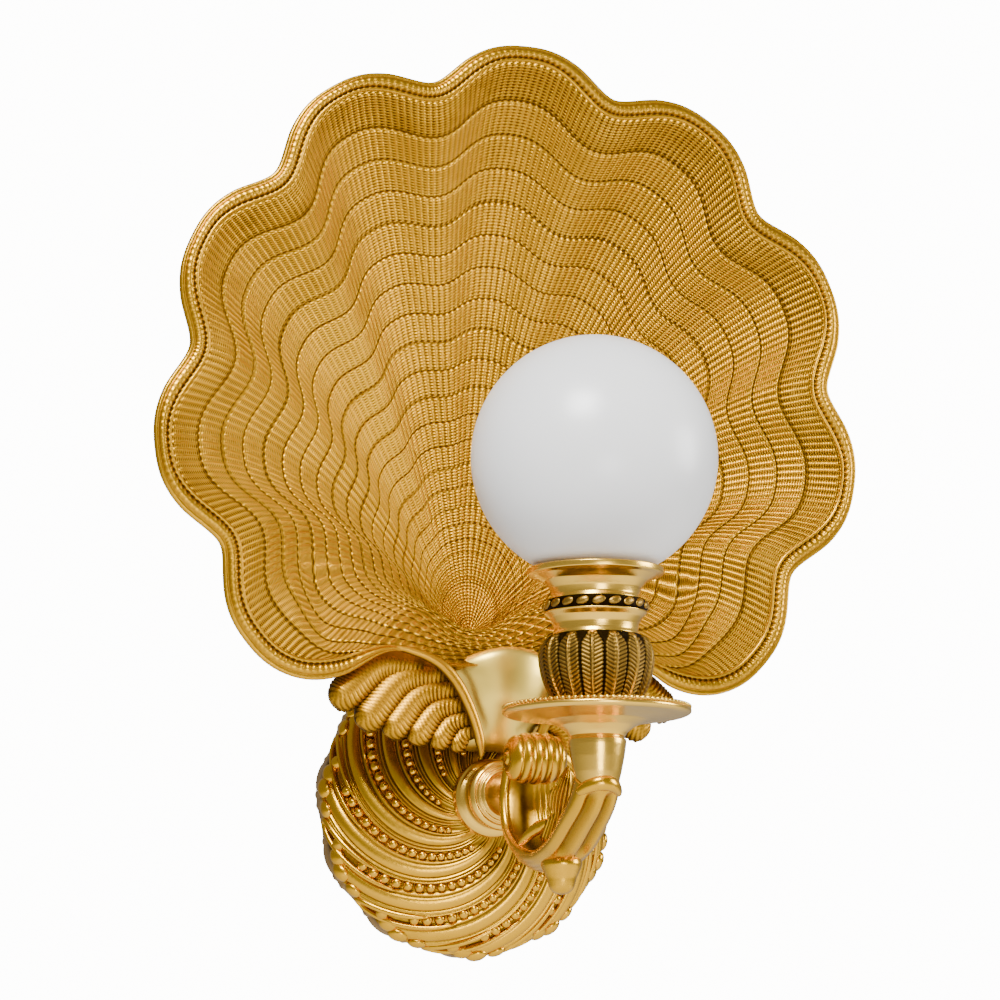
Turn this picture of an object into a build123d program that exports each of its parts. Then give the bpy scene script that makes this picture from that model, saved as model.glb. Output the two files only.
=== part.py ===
"""Wall sconce with a scallop-shell reflector, a cast scroll arm and one candle-cup lamp.

Millimetres. X to the right, +Y into the wall, +Z up. The origin is on the wall, behind
the centre of the round backplate. "Out" below is the distance from the wall, along -Y.
"""

import os
from math import cos, exp, pi, radians, sin, sqrt

from build123d import *

# ---- fits ---------------------------------------------------------------------------
seat_gap = 0.05         # between pieces that seat on each other
thread_gap = 0.05       # radial, between plain stand-ins for threads
slip_gap = 0.25         # radial, where one piece slips over another
lamp_gap = 0.3          # between the lamp and what it stands in

# ---- wall strap, nipple and nut --------------------------------------------------------
strap_end_gap = 1.6         # from the strap's ends to the backplate's inside
strap_width = 15.0
strap_thickness = 2.5
box_screw_spacing = 69.85   # two ears of a round fixture box
strap_slot_width = 4.8
strap_slot_length = 11.0
nipple_radius = 4.85
nipple_bore_radius = 3.1
nipple_recess = 0.6
washer_radius = 8.0
washer_thickness = 0.9
nut_flats = 14.3
nut_height = 4.0

# ---- backplate -----------------------------------------------------------------------
plate_radius = 50.6         # in the valleys between gadroons
plate_edge_height = 7.0
plate_dome_height = 33.5
plate_flat_radius = 12.5
plate_wall = 3.0
gadroon_count = 11
gadroon_swirl = 112.0       # degrees from the edge to the collar
gadroon_rise = 2.9          # how far a gadroon stands out of the dome at the edge
gadroon_start = 8.0         # degrees

# ---- wall collar ---------------------------------------------------------------------
collar_ring_radius = 13.8
collar_neck_radius = 10.8
collar_bead_radius = 12.3
collar_length = 18.0

# ---- shell -----------------------------------------------------------------------------
shell_centre_z = 131.0
shell_mouth_radius = 119.0
shell_mouth_out = 65.0
shell_mouth_tilt = 0.085    # out per mm of height
shell_wall = 2.6
shell_lobes = 11            # round the whole circle; nine stay clear of the hinge
shell_wave = 6.2
shell_last_drop = 5.6       # how much shorter the lobe next to the hinge is
shell_rim_width = 6.6
shell_rim_depth = 6.5
hinge_z = 48.5
umbo_z = 60.0
umbo_out = 12.5
umbo_radius = 10.0

# ---- hinge knob, ears and their bosses ---------------------------------------------------
knob_half_width = 22.5      # at its top
knob_reach = 61.0           # out of its fullest point
knob_top_z = 48.0
knob_foot_z = 16.0
knob_back_out = 37.0
ear_out = 49.5
ear_thickness = 8.0
ear_reach = 65.0
ear_top_z = 46.0
ear_drop = 37.5
ear_roll_radius = 2.3
boss_radius = 5.0
boss_x = 10.0
boss_z = 30.0
pad_height = 9.5
shell_screw_radius = 2.0
shell_screw_head_radius = 3.8
shell_screw_head_height = 2.6
shell_screw_grip = 9.0

# ---- arm -------------------------------------------------------------------------------
arm_spigot_radius = 6.2
arm_half_width = 12.0
strap_half_width = 8.8
arm_thickness = 6.5
arm_drop = 26.0             # of the scroll's foot under the collar's axis
leaf_cup = 4.5              # how far the leaf's edges stand in front of its middle
flute_depth = 1.6
curl_radius = 8.6
curl_out = 79.6
curl_z = 9.4
finial_radius = 6.2
finial_length = 9.0
finial_out = 104.0

# ---- candle stack ------------------------------------------------------------------------
lamp_out = 137.5
stem_top_z = 10.5
stem_bottom_z = -6.0
stem_radius = 9.3
dish_radius = 31.0
dish_edge_z = 20.6
dish_neck_radius = 9.0
dish_gap = 0.8              # dark joint line between the stem and the dish's neck
vase_radius = 18.15
vase_foot_radius = 10.5
vase_top_radius = 15.0
vase_top_z = 43.7
vase_wall = 2.4
vase_floor = 3.0
lower_cup_neck_radius = 13.9
lower_cup_radius = 16.8
lower_cup_top_z = 51.4
bead_ring_radius = 18.4
bead_ring_height = 4.0
upper_cup_neck_radius = 14.5
upper_cup_radius = 22.5
upper_cup_top_z = 66.0
cup_wall = 1.8

# ---- lampholder and lamp ---------------------------------------------------------------
holder_radius = 10.2
holder_top_z = 54.6
holder_floor = 5.0
contact_height = 2.0
screw_shell_wall = 0.4
globe_radius = 40.8
globe_z = 103.0
glass_wall = 0.9
lamp_neck_radius = 6.9
lamp_cap_radius = 5.9
lamp_cap_length = 19.0
lamp_cap_top_z = 55.0
lamp_tip_length = 2.2


# ======================================================================================
# helpers
# ======================================================================================
def at(x: float, out: float, z: float) -> Vector:
    """A point given by its distance out from the wall."""
    return Vector(x, -out, z)


def turned_upright(profile, out=lamp_out):
    """Revolve (radius, z) points about the upright axis of the candle stack."""
    with BuildPart() as piece:
        with BuildSketch(Plane.XZ):
            with BuildLine():
                Polyline(*profile, close=True)
            make_face()
        revolve(axis=Axis.Z)
    return piece.part.moved(Location(at(0, out, 0)))


def turned_outward(profile):
    """Revolve (radius, out) points about the axis that runs straight out of the wall."""
    upright = turned_upright(profile, out=0)
    return upright.rotate(Axis.X, 90)


def rod_outward(radius, out_from, out_to, x=0.0, z=0.0):
    """A plain rod along the outward direction."""
    rod = Cylinder(radius, out_to - out_from, align=(Align.CENTER, Align.CENTER, Align.MIN))
    return rod.rotate(Axis.X, 90).moved(Location(at(x, out_from, z)))


def rod_upright(radius, z_from, z_to, out=lamp_out):
    """A plain upright rod."""
    rod = Cylinder(radius, z_to - z_from, align=(Align.CENTER, Align.CENTER, Align.MIN))
    return rod.moved(Location(at(0, out, z_from)))


def hexagon(flats, height):
    """A hexagonal prism standing on the XY plane."""
    outline = RegularPolygon(radius=flats / 2, side_count=6, major_radius=False)
    return extrude(outline, height)


# ======================================================================================
# wall side
# ======================================================================================
def strap_length():
    """The strap spans the hollow of the backplate."""
    return 2 * (plate_radius - plate_wall - strap_end_gap)


def wall_crossbar():
    """Steel strap with two slots for the box screws and a tapped centre hole."""
    strap = Box(strap_length(), strap_thickness, strap_width, align=(Align.CENTER, Align.MAX, Align.CENTER))
    for side in (-1, 1):
        slot = SlotOverall(strap_slot_length, strap_slot_width)
        cutter = extrude(Plane.XZ * Pos(side * box_screw_spacing / 2, 0) * slot, strap_thickness * 2, both=True)
        strap -= cutter
    ends = [e for e in strap.edges().filter_by(Axis.Y) if abs(abs(e.center().X) - strap_length() / 2) < 0.01]
    strap = fillet(ends, strap_width / 4)
    return strap - rod_outward(nipple_radius + thread_gap, -1, strap_thickness + 1)


def collar_start_out():
    """Where the collar seats on the flat centre of the dome."""
    return plate_dome_height + seat_gap


def arm_start_out():
    """Where the arm's spigot seats in the collar."""
    return collar_start_out() + collar_length


def fixing_nipple():
    """Hollow threaded tube that carries the whole lamp; also the way for the wires."""
    nipple_end = arm_start_out() + 5.0
    tube = rod_outward(nipple_radius, nipple_recess, nipple_end)
    return tube - rod_outward(nipple_bore_radius, 0, nipple_end + 1)


def fixing_washer():
    """Flat washer under the locknut."""
    start = strap_thickness + seat_gap
    ring = rod_outward(washer_radius, start, start + washer_thickness)
    return ring - rod_outward(nipple_radius + slip_gap, 0, start + washer_thickness + 1)


def fixing_locknut():
    """Hex nut that locks the nipple to the strap."""
    start = strap_thickness + washer_thickness + 2 * seat_gap
    nut = hexagon(nut_flats, nut_height).rotate(Axis.X, 90).moved(Location(at(0, start, 0)))
    return nut - rod_outward(nipple_radius + thread_gap, 0, start + nut_height + 1)


def dome_out(radius):
    """Height of the dome above the wall at a radius, between its gadroons."""
    span = plate_radius - plate_flat_radius
    share = min(max((radius - plate_flat_radius) / span, 0.0), 1.0)
    rise = plate_dome_height - plate_edge_height
    return plate_edge_height + rise * (0.62 * sqrt(1 - share**2) + 0.38 * (1 - share))


def dome_profile(inset):
    """(radius, out) points of the dome's half section, moved in by an inset."""
    steps = 7
    points = [(0, 0), (plate_radius - inset, 0)]
    for i in range(steps + 1):
        radius = plate_radius + (plate_flat_radius - plate_radius) * sin(pi / 2 * i / steps)
        points.append((radius - inset * (1 - i / steps), dome_out(radius) - inset))
    points.append((0, plate_dome_height - inset))
    return points


def gadroon_wave(angle_degrees):
    """1 on a gadroon's crest and 0 in the valley between two."""
    return 1 - abs(sin(radians(angle_degrees * gadroon_count / 2))) ** 2.6


def dome_outline(share, start_share):
    """Lobed outline at one height; share is 0 at the edge and 1 at the flat centre."""
    turn = pi / 2 * share
    span = plate_radius - plate_flat_radius
    rise = plate_dome_height - plate_edge_height
    radius = plate_flat_radius + span * cos(turn)
    steepness = rise * (0.62 * cos(turn) + 0.38 * sin(turn))
    slant = min(sqrt(1 + (span * sin(turn) / steepness) ** 2), 2.2)
    amplitude = gadroon_rise * (1 - share**2) * slant
    points = []
    per_gadroon = 6
    for i in range(per_gadroon * gadroon_count):
        angle = 360.0 / (per_gadroon * gadroon_count) * i
        reach = radius + amplitude * gadroon_wave(angle)
        swirled = radians(angle + gadroon_start + gadroon_swirl * (share - start_share))
        points.append(at(reach * cos(swirled), dome_out(radius), reach * sin(swirled)))
    return Wire([Edge.make_spline(points, periodic=True)])


def dome_stage(start_share, stop_share):
    """Lofted stage of the dome, turned to where the stage below it ends."""
    steps = 4
    outlines = []
    for i in range(steps + 1):
        share = start_share + (stop_share - start_share) * i / steps
        outlines.append(dome_outline(share, start_share))
    return Solid.make_loft(outlines).rotate(Axis.Y, -gadroon_swirl * start_share)


def dome_mass():
    """Solid dome with swirled gadroons, from the wall plane up to its flat centre."""
    foot = extrude(Face(dome_outline(0.0, 0.0)), plate_edge_height, dir=(0, 1, 0))
    return foot + dome_stage(0.0, 0.5) + dome_stage(0.5, 1.0)


def backplate():
    """Hollow domed wall plate with swirled gadroons."""
    plate = dome_mass() - turned_outward(dome_profile(plate_wall))
    plate -= rod_outward(collar_ring_radius + slip_gap, plate_dome_height, plate_dome_height + 10)
    for side in (-1, 1):
        pad_back = boss_seat_out() - pad_height
        plate += rod_outward(boss_radius + 1, pad_back, boss_seat_out(), side * boss_x, boss_z)
        plate -= rod_outward(boss_radius + slip_gap, boss_seat_out(), 50, side * boss_x, boss_z)
        plate -= rod_outward(shell_screw_radius + slip_gap, 0, 50, side * boss_x, boss_z)
    return plate - rod_outward(nipple_radius + slip_gap, -1, 50)


def boss_seat_out():
    """Where the shell's bosses seat on pads of the dome."""
    return dome_out(sqrt(boss_x**2 + boss_z**2)) + gadroon_rise * 0.6


# ======================================================================================
# shell, hinge knob and ears
# ======================================================================================
def lobe_wave(angle_degrees):
    """+1 at a lobe's tip and -1 at a notch, with the notch narrower than the tip."""
    turn = cos(radians(angle_degrees * shell_lobes))
    return 1 - 2 * ((1 - turn) / 2) ** 1.4


def last_lobe_drop(angle_degrees):
    """How much the lobes next to the hinge fall short of the others, at the mouth."""
    away = abs(abs(angle_degrees) - 4 * 360 / shell_lobes) / 31
    return shell_last_drop * (1 + cos(pi * min(away, 1.0))) / 2


def shell_section(depth_share, grow=0.0, sink=0.0):
    """Closed scalloped outline of the bowl; depth_share is 0 at the umbo and 1 at the mouth."""
    share = depth_share
    radius = umbo_radius + (shell_mouth_radius - umbo_radius) * share + grow
    out = umbo_out + (shell_mouth_out - umbo_out) * share**1.2 - sink
    low = umbo_z + umbo_radius
    centre_z = low + (shell_centre_z - low) * (1 - (1 - share) ** 2.15)
    wave = shell_wave * share**1.45
    tilt = shell_mouth_tilt * share**4
    last_notch = 4.5 * 360 / shell_lobes
    notch_radius = radius - wave - last_lobe_drop(last_notch) * share**1.45
    notch_x = notch_radius * sin(radians(last_notch))
    notch_z = centre_z + notch_radius * cos(radians(last_notch))
    hinge_height = umbo_z + (hinge_z - umbo_z) * share - min(grow, shell_wall)
    bottom_z = max(hinge_height, centre_z - radius)
    points = []
    for quarter in range(-18, 19):
        angle = quarter * 90 / shell_lobes
        reach = radius + wave * lobe_wave(angle) - last_lobe_drop(angle) * share**1.45
        points.append((reach * sin(radians(angle)), centre_z + reach * cos(radians(angle))))
    for step in range(1, 10):
        side = 1 - step / 5
        ease = ((1 - cos(pi * side)) / 2) ** 1.6
        points.append((notch_x * side, bottom_z + (notch_z - bottom_z) * ease))
    spots = [at(x, out + tilt * (z - shell_centre_z), z) for x, z in points]
    return Wire([Edge.make_spline(spots, periodic=True)])


def shell_masses():
    """The solid that the bowl's outside encloses, with its rolled rim, and its inside."""
    shares = (0.0, 0.06, 0.16, 0.32, 0.52, 0.75, 0.92)
    inner = Solid.make_loft([shell_section(share) for share in (*shares, 1.0)])
    body = [shell_section(share, shell_wall, shell_wall) for share in shares]
    rim = [
        shell_section(1.0, shell_rim_width * 0.75, shell_rim_depth),
        shell_section(1.0, shell_rim_width, shell_rim_depth * 0.45),
        shell_section(1.0, shell_rim_width * 0.7),
    ]
    return Solid.make_loft(body + rim), inner


def hinge_knob(bowl):
    """Smooth apron under the shell's hinge line, with two bosses that reach the dome."""
    height = knob_top_z - knob_foot_z
    rings = []
    for rise, width, reach in ((0.0, 0.42, 0.16), (0.05, 0.56, 0.40), (0.22, 0.67, 0.68), (0.45, 0.80, 0.92),
                               (0.7, 0.91, 1.0), (0.9, 1.0, 0.95), (1.0, 0.96, 0.85)):
        plane = Plane(origin=at(0, knob_back_out, knob_foot_z + rise * height), z_dir=(0, 0, 1))
        half_depth = (knob_reach - knob_back_out) * reach
        rings.append((plane * Ellipse(knob_half_width * width, half_depth)).wire())
    knob = Solid.make_loft(rings) - rod_outward(60, 0, knob_back_out)
    for side in (-1, 1):
        knob += rod_outward(boss_radius, boss_seat_out() + seat_gap, knob_back_out + 3, side * boss_x, boss_z)
    knob -= bowl
    for side in (-1, 1):
        tapped_end = boss_seat_out() + shell_screw_grip
        knob -= rod_outward(shell_screw_radius + thread_gap, 0, tapped_end, side * boss_x, boss_z)
    return knob


def shell_screws():
    """Two cheese-head screws from inside the dome up into the knob's bosses."""
    screws = []
    for side in (-1, 1):
        head_top = boss_seat_out() - pad_height - seat_gap
        head = rod_outward(shell_screw_head_radius, head_top - shell_screw_head_height, head_top,
                           side * boss_x, boss_z)
        shank = rod_outward(shell_screw_radius, head_top, boss_seat_out() + shell_screw_grip - 0.5,
                            side * boss_x, boss_z)
        screws.append(head + shank)
    return Compound(children=screws)


def ear_outline(shrink, out):
    """Outline of the left ear: six round lobe ends, then back up along the knob."""
    shares = [(0.4, 0), (0.677, 0.187), (0.892, 0.347), (1, 0.56), (0.908, 0.72), (0.846, 0.707),
             (0.785, 0.893), (0.692, 0.893), (0.662, 0.84), (0.615, 0.947), (0.538, 0.947), (0.523, 0.893),
             (0.477, 0.987), (0.415, 0.973), (0.4, 0.92), (0.354, 1), (0.3, 0.973), (0.285, 0.92),
             (0.231, 0.987), (0.177, 0.907), (0.215, 0.64), (0.292, 0.32)]
    spots = [(-ear_reach * across, ear_top_z - ear_drop * down) for across, down in shares]
    centre_x, centre_z = -ear_reach / 2, ear_top_z - ear_drop * 0.53
    points = []
    for x, z in spots:
        points.append(at(centre_x + (x - centre_x) * shrink, out, centre_z + (z - centre_z) * shrink))
    return Wire([Edge.make_spline(points, periodic=True)])


def ear_fan():
    """Fan of rounded gadroons on the left of the knob, with its rolled inner edge."""
    half = ear_thickness / 2
    fan = Solid.make_loft([ear_outline(0.84, ear_out - half), ear_outline(1.0, ear_out - 0.25 * half),
                           ear_outline(0.97, ear_out + 0.45 * half), ear_outline(0.82, ear_out + half)])
    shares = ((0.46, 0.013), (0.354, 0.213), (0.262, 0.48), (0.162, 0.84))
    roll = Spline(*[at(-ear_reach * across, ear_out + 1, ear_top_z - ear_drop * down) for across, down in shares])
    start = Plane(origin=roll @ 0, z_dir=roll % 0)
    return fan + sweep(start * Circle(ear_roll_radius), path=roll)


# ======================================================================================
# arm
# ======================================================================================
def wall_collar():
    """Turned collar with two stepped rings that the arm's spigot stands in."""
    base = collar_start_out()
    end = arm_start_out()
    profile = [
        (nipple_radius + slip_gap, base),
        (collar_ring_radius - 1.2, base),
        (collar_ring_radius, base + 1.5),
        (collar_ring_radius, base + 4.0),
        (collar_ring_radius - 1.2, base + 5.5),
        (collar_neck_radius, base + 6.5),
        (collar_neck_radius - 0.6, base + 9.5),
        (collar_bead_radius - 1.0, base + 11.0),
        (collar_bead_radius, base + 12.5),
        (collar_bead_radius, base + 14.5),
        (collar_bead_radius - 1.2, base + 16.0),
        (collar_bead_radius - 2.4, base + 16.2),
        (collar_bead_radius - 2.6, base + 17.4),
        (arm_spigot_radius + 1.6, end),
        (nipple_radius + slip_gap, end),
    ]
    return turned_outward(profile)


def arm_path():
    """Centreline of the cast scroll: down the leaf, round the foot and up the strap."""
    shares = ((-0.045, 0.538), (-0.123, 0.192), (-0.149, -0.192), (-0.079, -0.615), (0.111, -0.923),
              (0.318, -1.0), (0.56, -0.865), (0.767, -0.615), (0.914, -0.385), (1.0, -0.135))
    reach = lamp_out - curl_out
    return Spline(*[at(0, curl_out + reach * along, arm_drop * rise) for along, rise in shares])


def arm_section(plane, half_width, half_thickness, cup, flute):
    """Section of the casting: its edges stand forward by the cup, and two flutes run down its back."""
    spots = []
    for i in range(16):
        turn = radians(22.5 * i)
        across = cos(turn)
        lift = sin(turn) * half_thickness + cup * (across**2 - 0.45)
        if sin(turn) < 0:
            lift += flute * exp(-(((abs(across) - 0.38) / 0.2) ** 2))
        spots.append(plane.from_local_coords((half_width * across, lift, 0)))
    return Wire([Edge.make_spline(spots, periodic=True)])


def arm(stem_body):
    """Cast scroll: spigot, cupped leaf with its curl, foot and fluted strap in one piece."""
    path = arm_path()
    half = arm_thickness / 2
    rings = []
    for place, width, thickness, cup, flute in (
        (0.0, arm_half_width * 0.85, half, leaf_cup * 0.5, 0.0),
        (0.2, arm_half_width, half, leaf_cup, 0.0),
        (0.43, arm_half_width * 0.92, half, leaf_cup * 0.7, 0.0),
        (0.63, strap_half_width, half * 1.05, 0.0, flute_depth * 0.4),
        (0.84, strap_half_width * 0.96, half * 1.25, 0.0, flute_depth),
        (1.0, strap_half_width * 0.98, half * 2.2, 0.0, flute_depth * 0.4),
    ):
        plane = Plane(origin=path @ place, x_dir=(1, 0, 0), z_dir=path % place)
        rings.append(arm_section(plane, width, thickness, cup, flute))
    casting = Solid.make_loft(rings)
    end = arm_half_width * 0.95
    curl = turned_upright([(0, -end), (curl_radius * 0.6, -end), (curl_radius * 0.92, -end * 0.6),
                           (curl_radius, 0), (curl_radius * 0.92, end * 0.6), (curl_radius * 0.6, end),
                           (0, end)], out=0)
    casting += curl.rotate(Axis.Y, 90).moved(Location(at(0, curl_out, curl_z)))
    casting += rod_outward(arm_spigot_radius, arm_start_out() + seat_gap, curl_out - 7)
    casting -= rod_outward(nipple_radius + thread_gap, 0, arm_start_out() + 5.5)
    return casting - stem_body


def drop_finial(arm_body):
    """Turned drop that closes the foot of the scroll."""
    foot = -arm_drop - arm_thickness / 2
    top = foot + 2.2
    low = foot - finial_length
    profile = [(0, top), (finial_radius * 0.75, top), (finial_radius, foot - 0.8), (finial_radius * 0.85, foot - 3.6),
               (finial_radius * 0.6, low + 1.2), (finial_radius * 0.3, low + 0.3), (0, low)]
    return turned_upright(profile, finial_out) - arm_body


# ======================================================================================
# candle stack
# ======================================================================================
def stem_outside():
    """Outside of the stem, also the pocket that the arm gives it."""
    top = stem_top_z - dish_gap
    profile = [(0, stem_bottom_z), (stem_radius * 0.72, stem_bottom_z), (stem_radius * 0.85, stem_bottom_z + 5),
               (stem_radius, stem_bottom_z + 12), (stem_radius, top), (0, top)]
    return turned_upright(profile)


def stem():
    """Turned pillar on the arm's end, tapped for the stem nipple."""
    spigot = rod_upright(stem_radius * 0.6, stem_top_z - dish_gap, stem_top_z)
    return stem_outside() + spigot - rod_upright(nipple_radius + thread_gap, stem_bottom_z + 6, stem_top_z + 1)


def bobeche():
    """Drip dish with a raised edge and a trumpet neck."""
    hole = nipple_radius + slip_gap
    floor_z = dish_floor_z()
    profile = [(hole, stem_top_z + seat_gap), (dish_neck_radius, stem_top_z + seat_gap),
               (dish_neck_radius + 0.5, stem_top_z + 2), (dish_neck_radius + 3.4, stem_top_z + 4.6),
               (dish_neck_radius + 9.5, dish_edge_z - 3.5), (dish_radius - 2, dish_edge_z - 2.8),
               (dish_radius, dish_edge_z - 2.3), (dish_radius, dish_edge_z - 0.6),
               (dish_radius - 0.8, dish_edge_z), (dish_radius - 2.6, dish_edge_z),
               (dish_radius - 3.4, floor_z), (hole, floor_z)]
    return turned_upright(profile)


def dish_floor_z():
    """Upper face of the drip dish, which the vase stands on."""
    return dish_edge_z - 0.8


def vase():
    """Hollow vase, widest above its middle; its floor is clamped by the stem locknut."""
    foot = dish_floor_z() + seat_gap
    height = vase_top_z - foot
    outside = [(vase_foot_radius, foot), (vase_foot_radius + 0.3, foot + 0.1 * height),
               (vase_radius * 0.78, foot + 0.3 * height), (vase_radius * 0.95, foot + 0.52 * height),
               (vase_radius, foot + 0.7 * height), (vase_radius * 0.96, foot + 0.86 * height),
               (vase_top_radius, vase_top_z)]
    inside = [(vase_top_radius - vase_wall, vase_top_z), (vase_radius - vase_wall, foot + 0.78 * height),
              (vase_radius * 0.86 - vase_wall, foot + 0.45 * height),
              (vase_foot_radius - 0.2, foot + vase_floor), (nipple_radius + slip_gap, foot + vase_floor),
              (nipple_radius + slip_gap, foot)]
    return turned_upright(outside + inside)


def vase_floor_top_z():
    """Upper face of the vase's floor."""
    return dish_floor_z() + seat_gap + vase_floor


def stem_nipple():
    """Hollow threaded tube from the stem up into the lampholder."""
    tube = rod_upright(nipple_radius, stem_bottom_z + 7, stem_nipple_top())
    return tube - rod_upright(nipple_bore_radius, stem_bottom_z, stem_nipple_top() + 1)


def holder_bottom_z():
    """Underside of the lampholder, just over the locknut."""
    return vase_floor_top_z() + washer_thickness + nut_height + 3 * seat_gap


def stem_nipple_top():
    """The nipple ends inside the lampholder's floor."""
    return holder_bottom_z() + holder_floor - 1.0


def stem_washer():
    """Washer on the vase's floor."""
    start = vase_floor_top_z() + seat_gap
    ring = rod_upright(washer_radius, start, start + washer_thickness)
    return ring - rod_upright(nipple_radius + slip_gap, start - 1, start + washer_thickness + 1)


def stem_locknut():
    """Hex nut that clamps the vase and the dish to the stem."""
    start = vase_floor_top_z() + washer_thickness + 2 * seat_gap
    nut = hexagon(nut_flats, nut_height).moved(Location(at(0, lamp_out, start)))
    return nut - rod_upright(nipple_radius + thread_gap, start - 1, start + nut_height + 1)


def lower_cup():
    """Polished collar that flares up from the vase's mouth."""
    low = vase_top_z + seat_gap
    rise = lower_cup_top_z - low
    outside = [(lower_cup_neck_radius, low), (lower_cup_neck_radius, low + 0.2 * rise),
               (lower_cup_neck_radius + 0.6, low + 0.5 * rise), (lower_cup_radius - 0.7, low + 0.82 * rise),
               (lower_cup_radius, lower_cup_top_z)]
    inside = [(lower_cup_neck_radius - cup_wall, lower_cup_top_z), (lower_cup_neck_radius - cup_wall, low)]
    return turned_upright(outside + inside)


def bead_ring():
    """Ring of long beads between the two cups."""
    low = lower_cup_top_z + seat_gap
    top = low + bead_ring_height
    body = bead_ring_radius - 1.6
    ring = rod_upright(body, low, top) - rod_upright(upper_cup_neck_radius - cup_wall, low - 1, top + 1)
    roll = Torus(body - 0.1, bead_ring_height * 0.42)
    ring += roll.moved(Location(at(0, lamp_out, (low + top) / 2)))
    return ring - rod_upright(upper_cup_neck_radius - cup_wall, low - 1, top + 1)


def upper_cup():
    """Polished flared cup that the globe stands in."""
    low = lower_cup_top_z + bead_ring_height + 2 * seat_gap
    rise = upper_cup_top_z - low
    outside = [(upper_cup_neck_radius + 0.6, low), (upper_cup_neck_radius, low + 0.15 * rise),
               (upper_cup_neck_radius + 0.9, low + 0.42 * rise), (upper_cup_radius - 3.4, low + 0.72 * rise),
               (upper_cup_radius, low + 0.86 * rise), (upper_cup_radius, upper_cup_top_z)]
    inside = [(upper_cup_radius - 1.2, upper_cup_top_z), (upper_cup_radius - 4.8, low + 0.76 * rise),
              (upper_cup_neck_radius + 0.9 - cup_wall, low + 0.5 * rise),
              (upper_cup_neck_radius - cup_wall, low + 0.2 * rise), (upper_cup_neck_radius - cup_wall, low)]
    return turned_upright(outside + inside)


# ======================================================================================
# lampholder and lamp
# ======================================================================================
def screw_shell_radius():
    """Inner radius of the lampholder's threaded shell."""
    return lamp_cap_radius + lamp_gap


def lampholder_body():
    """Moulded insulating tube with a tapped floor for the stem nipple."""
    low = holder_bottom_z()
    cavity = screw_shell_radius() + screw_shell_wall + seat_gap
    body = rod_upright(holder_radius, low, holder_top_z)
    body -= rod_upright(cavity, low + holder_floor, holder_top_z + 1)
    return body - rod_upright(nipple_radius + thread_gap, low - 1, low + holder_floor - 0.8)


def holder_cavity_floor():
    """Floor of the lampholder's cavity."""
    return holder_bottom_z() + holder_floor


def lampholder_shell():
    """Threaded metal shell of the lampholder, shown plain."""
    low = holder_cavity_floor() + contact_height + 1.2
    inner = screw_shell_radius()
    tube = rod_upright(inner + screw_shell_wall, low, holder_top_z - 0.6)
    return tube - rod_upright(inner, low - 1, holder_top_z)


def lampholder_contact():
    """Centre contact on the floor of the lampholder."""
    low = holder_cavity_floor() + seat_gap
    return rod_upright(2.6, low, low + 0.6) + rod_upright(1.5, low + 0.6, low + contact_height)


def lamp_tip_z():
    """The lamp's lowest point, just over the centre contact."""
    return holder_cavity_floor() + seat_gap + contact_height + lamp_gap


def lamp_cap_bottom_z():
    """Lower edge of the lamp's threaded cap."""
    return lamp_cap_top_z - lamp_cap_length


def lamp_globe():
    """Opal glass bulb with its neck, hollow."""
    neck_z = lamp_cap_top_z + seat_gap
    joint_z = globe_z - sqrt(globe_radius**2 - (lamp_neck_radius + 3) ** 2)
    outside = Sphere(globe_radius).moved(Location(at(0, lamp_out, globe_z)))
    outside += turned_upright([(0, neck_z), (lamp_neck_radius, neck_z), (lamp_neck_radius, joint_z - 3.2),
                               (lamp_neck_radius + 0.8, joint_z - 1.4), (lamp_neck_radius + 3, joint_z),
                               (0, joint_z + 2)])
    hollow = Sphere(globe_radius - glass_wall).moved(Location(at(0, lamp_out, globe_z)))
    hollow += rod_upright(lamp_neck_radius - glass_wall, neck_z - 1, joint_z + 2)
    return outside - hollow


def lamp_cap():
    """Threaded metal cap of the lamp, shown plain."""
    cup = rod_upright(lamp_cap_radius, lamp_cap_bottom_z(), lamp_cap_top_z)
    return cup - rod_upright(lamp_cap_radius - screw_shell_wall, lamp_cap_bottom_z() - 1, lamp_cap_top_z - 0.6)


def lamp_insulator():
    """Glass insulator that closes the lamp's cap."""
    wide = lamp_cap_radius - screw_shell_wall - seat_gap
    low = lamp_tip_z() + 0.8
    profile = [(0, low), (2.4, low), (wide, lamp_cap_bottom_z() + 0.2), (wide, lamp_cap_bottom_z() + 1.6),
               (0, lamp_cap_bottom_z() + 1.6)]
    return turned_upright(profile) - lamp_contact_slug(seat_gap)


def lamp_contact_slug(grow=0.0):
    """Solder tip of the lamp, grown by a clearance when it cuts its own seat."""
    return rod_upright(1.9 + grow, lamp_tip_z() - grow, lamp_tip_z() + lamp_tip_length + grow)


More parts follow.
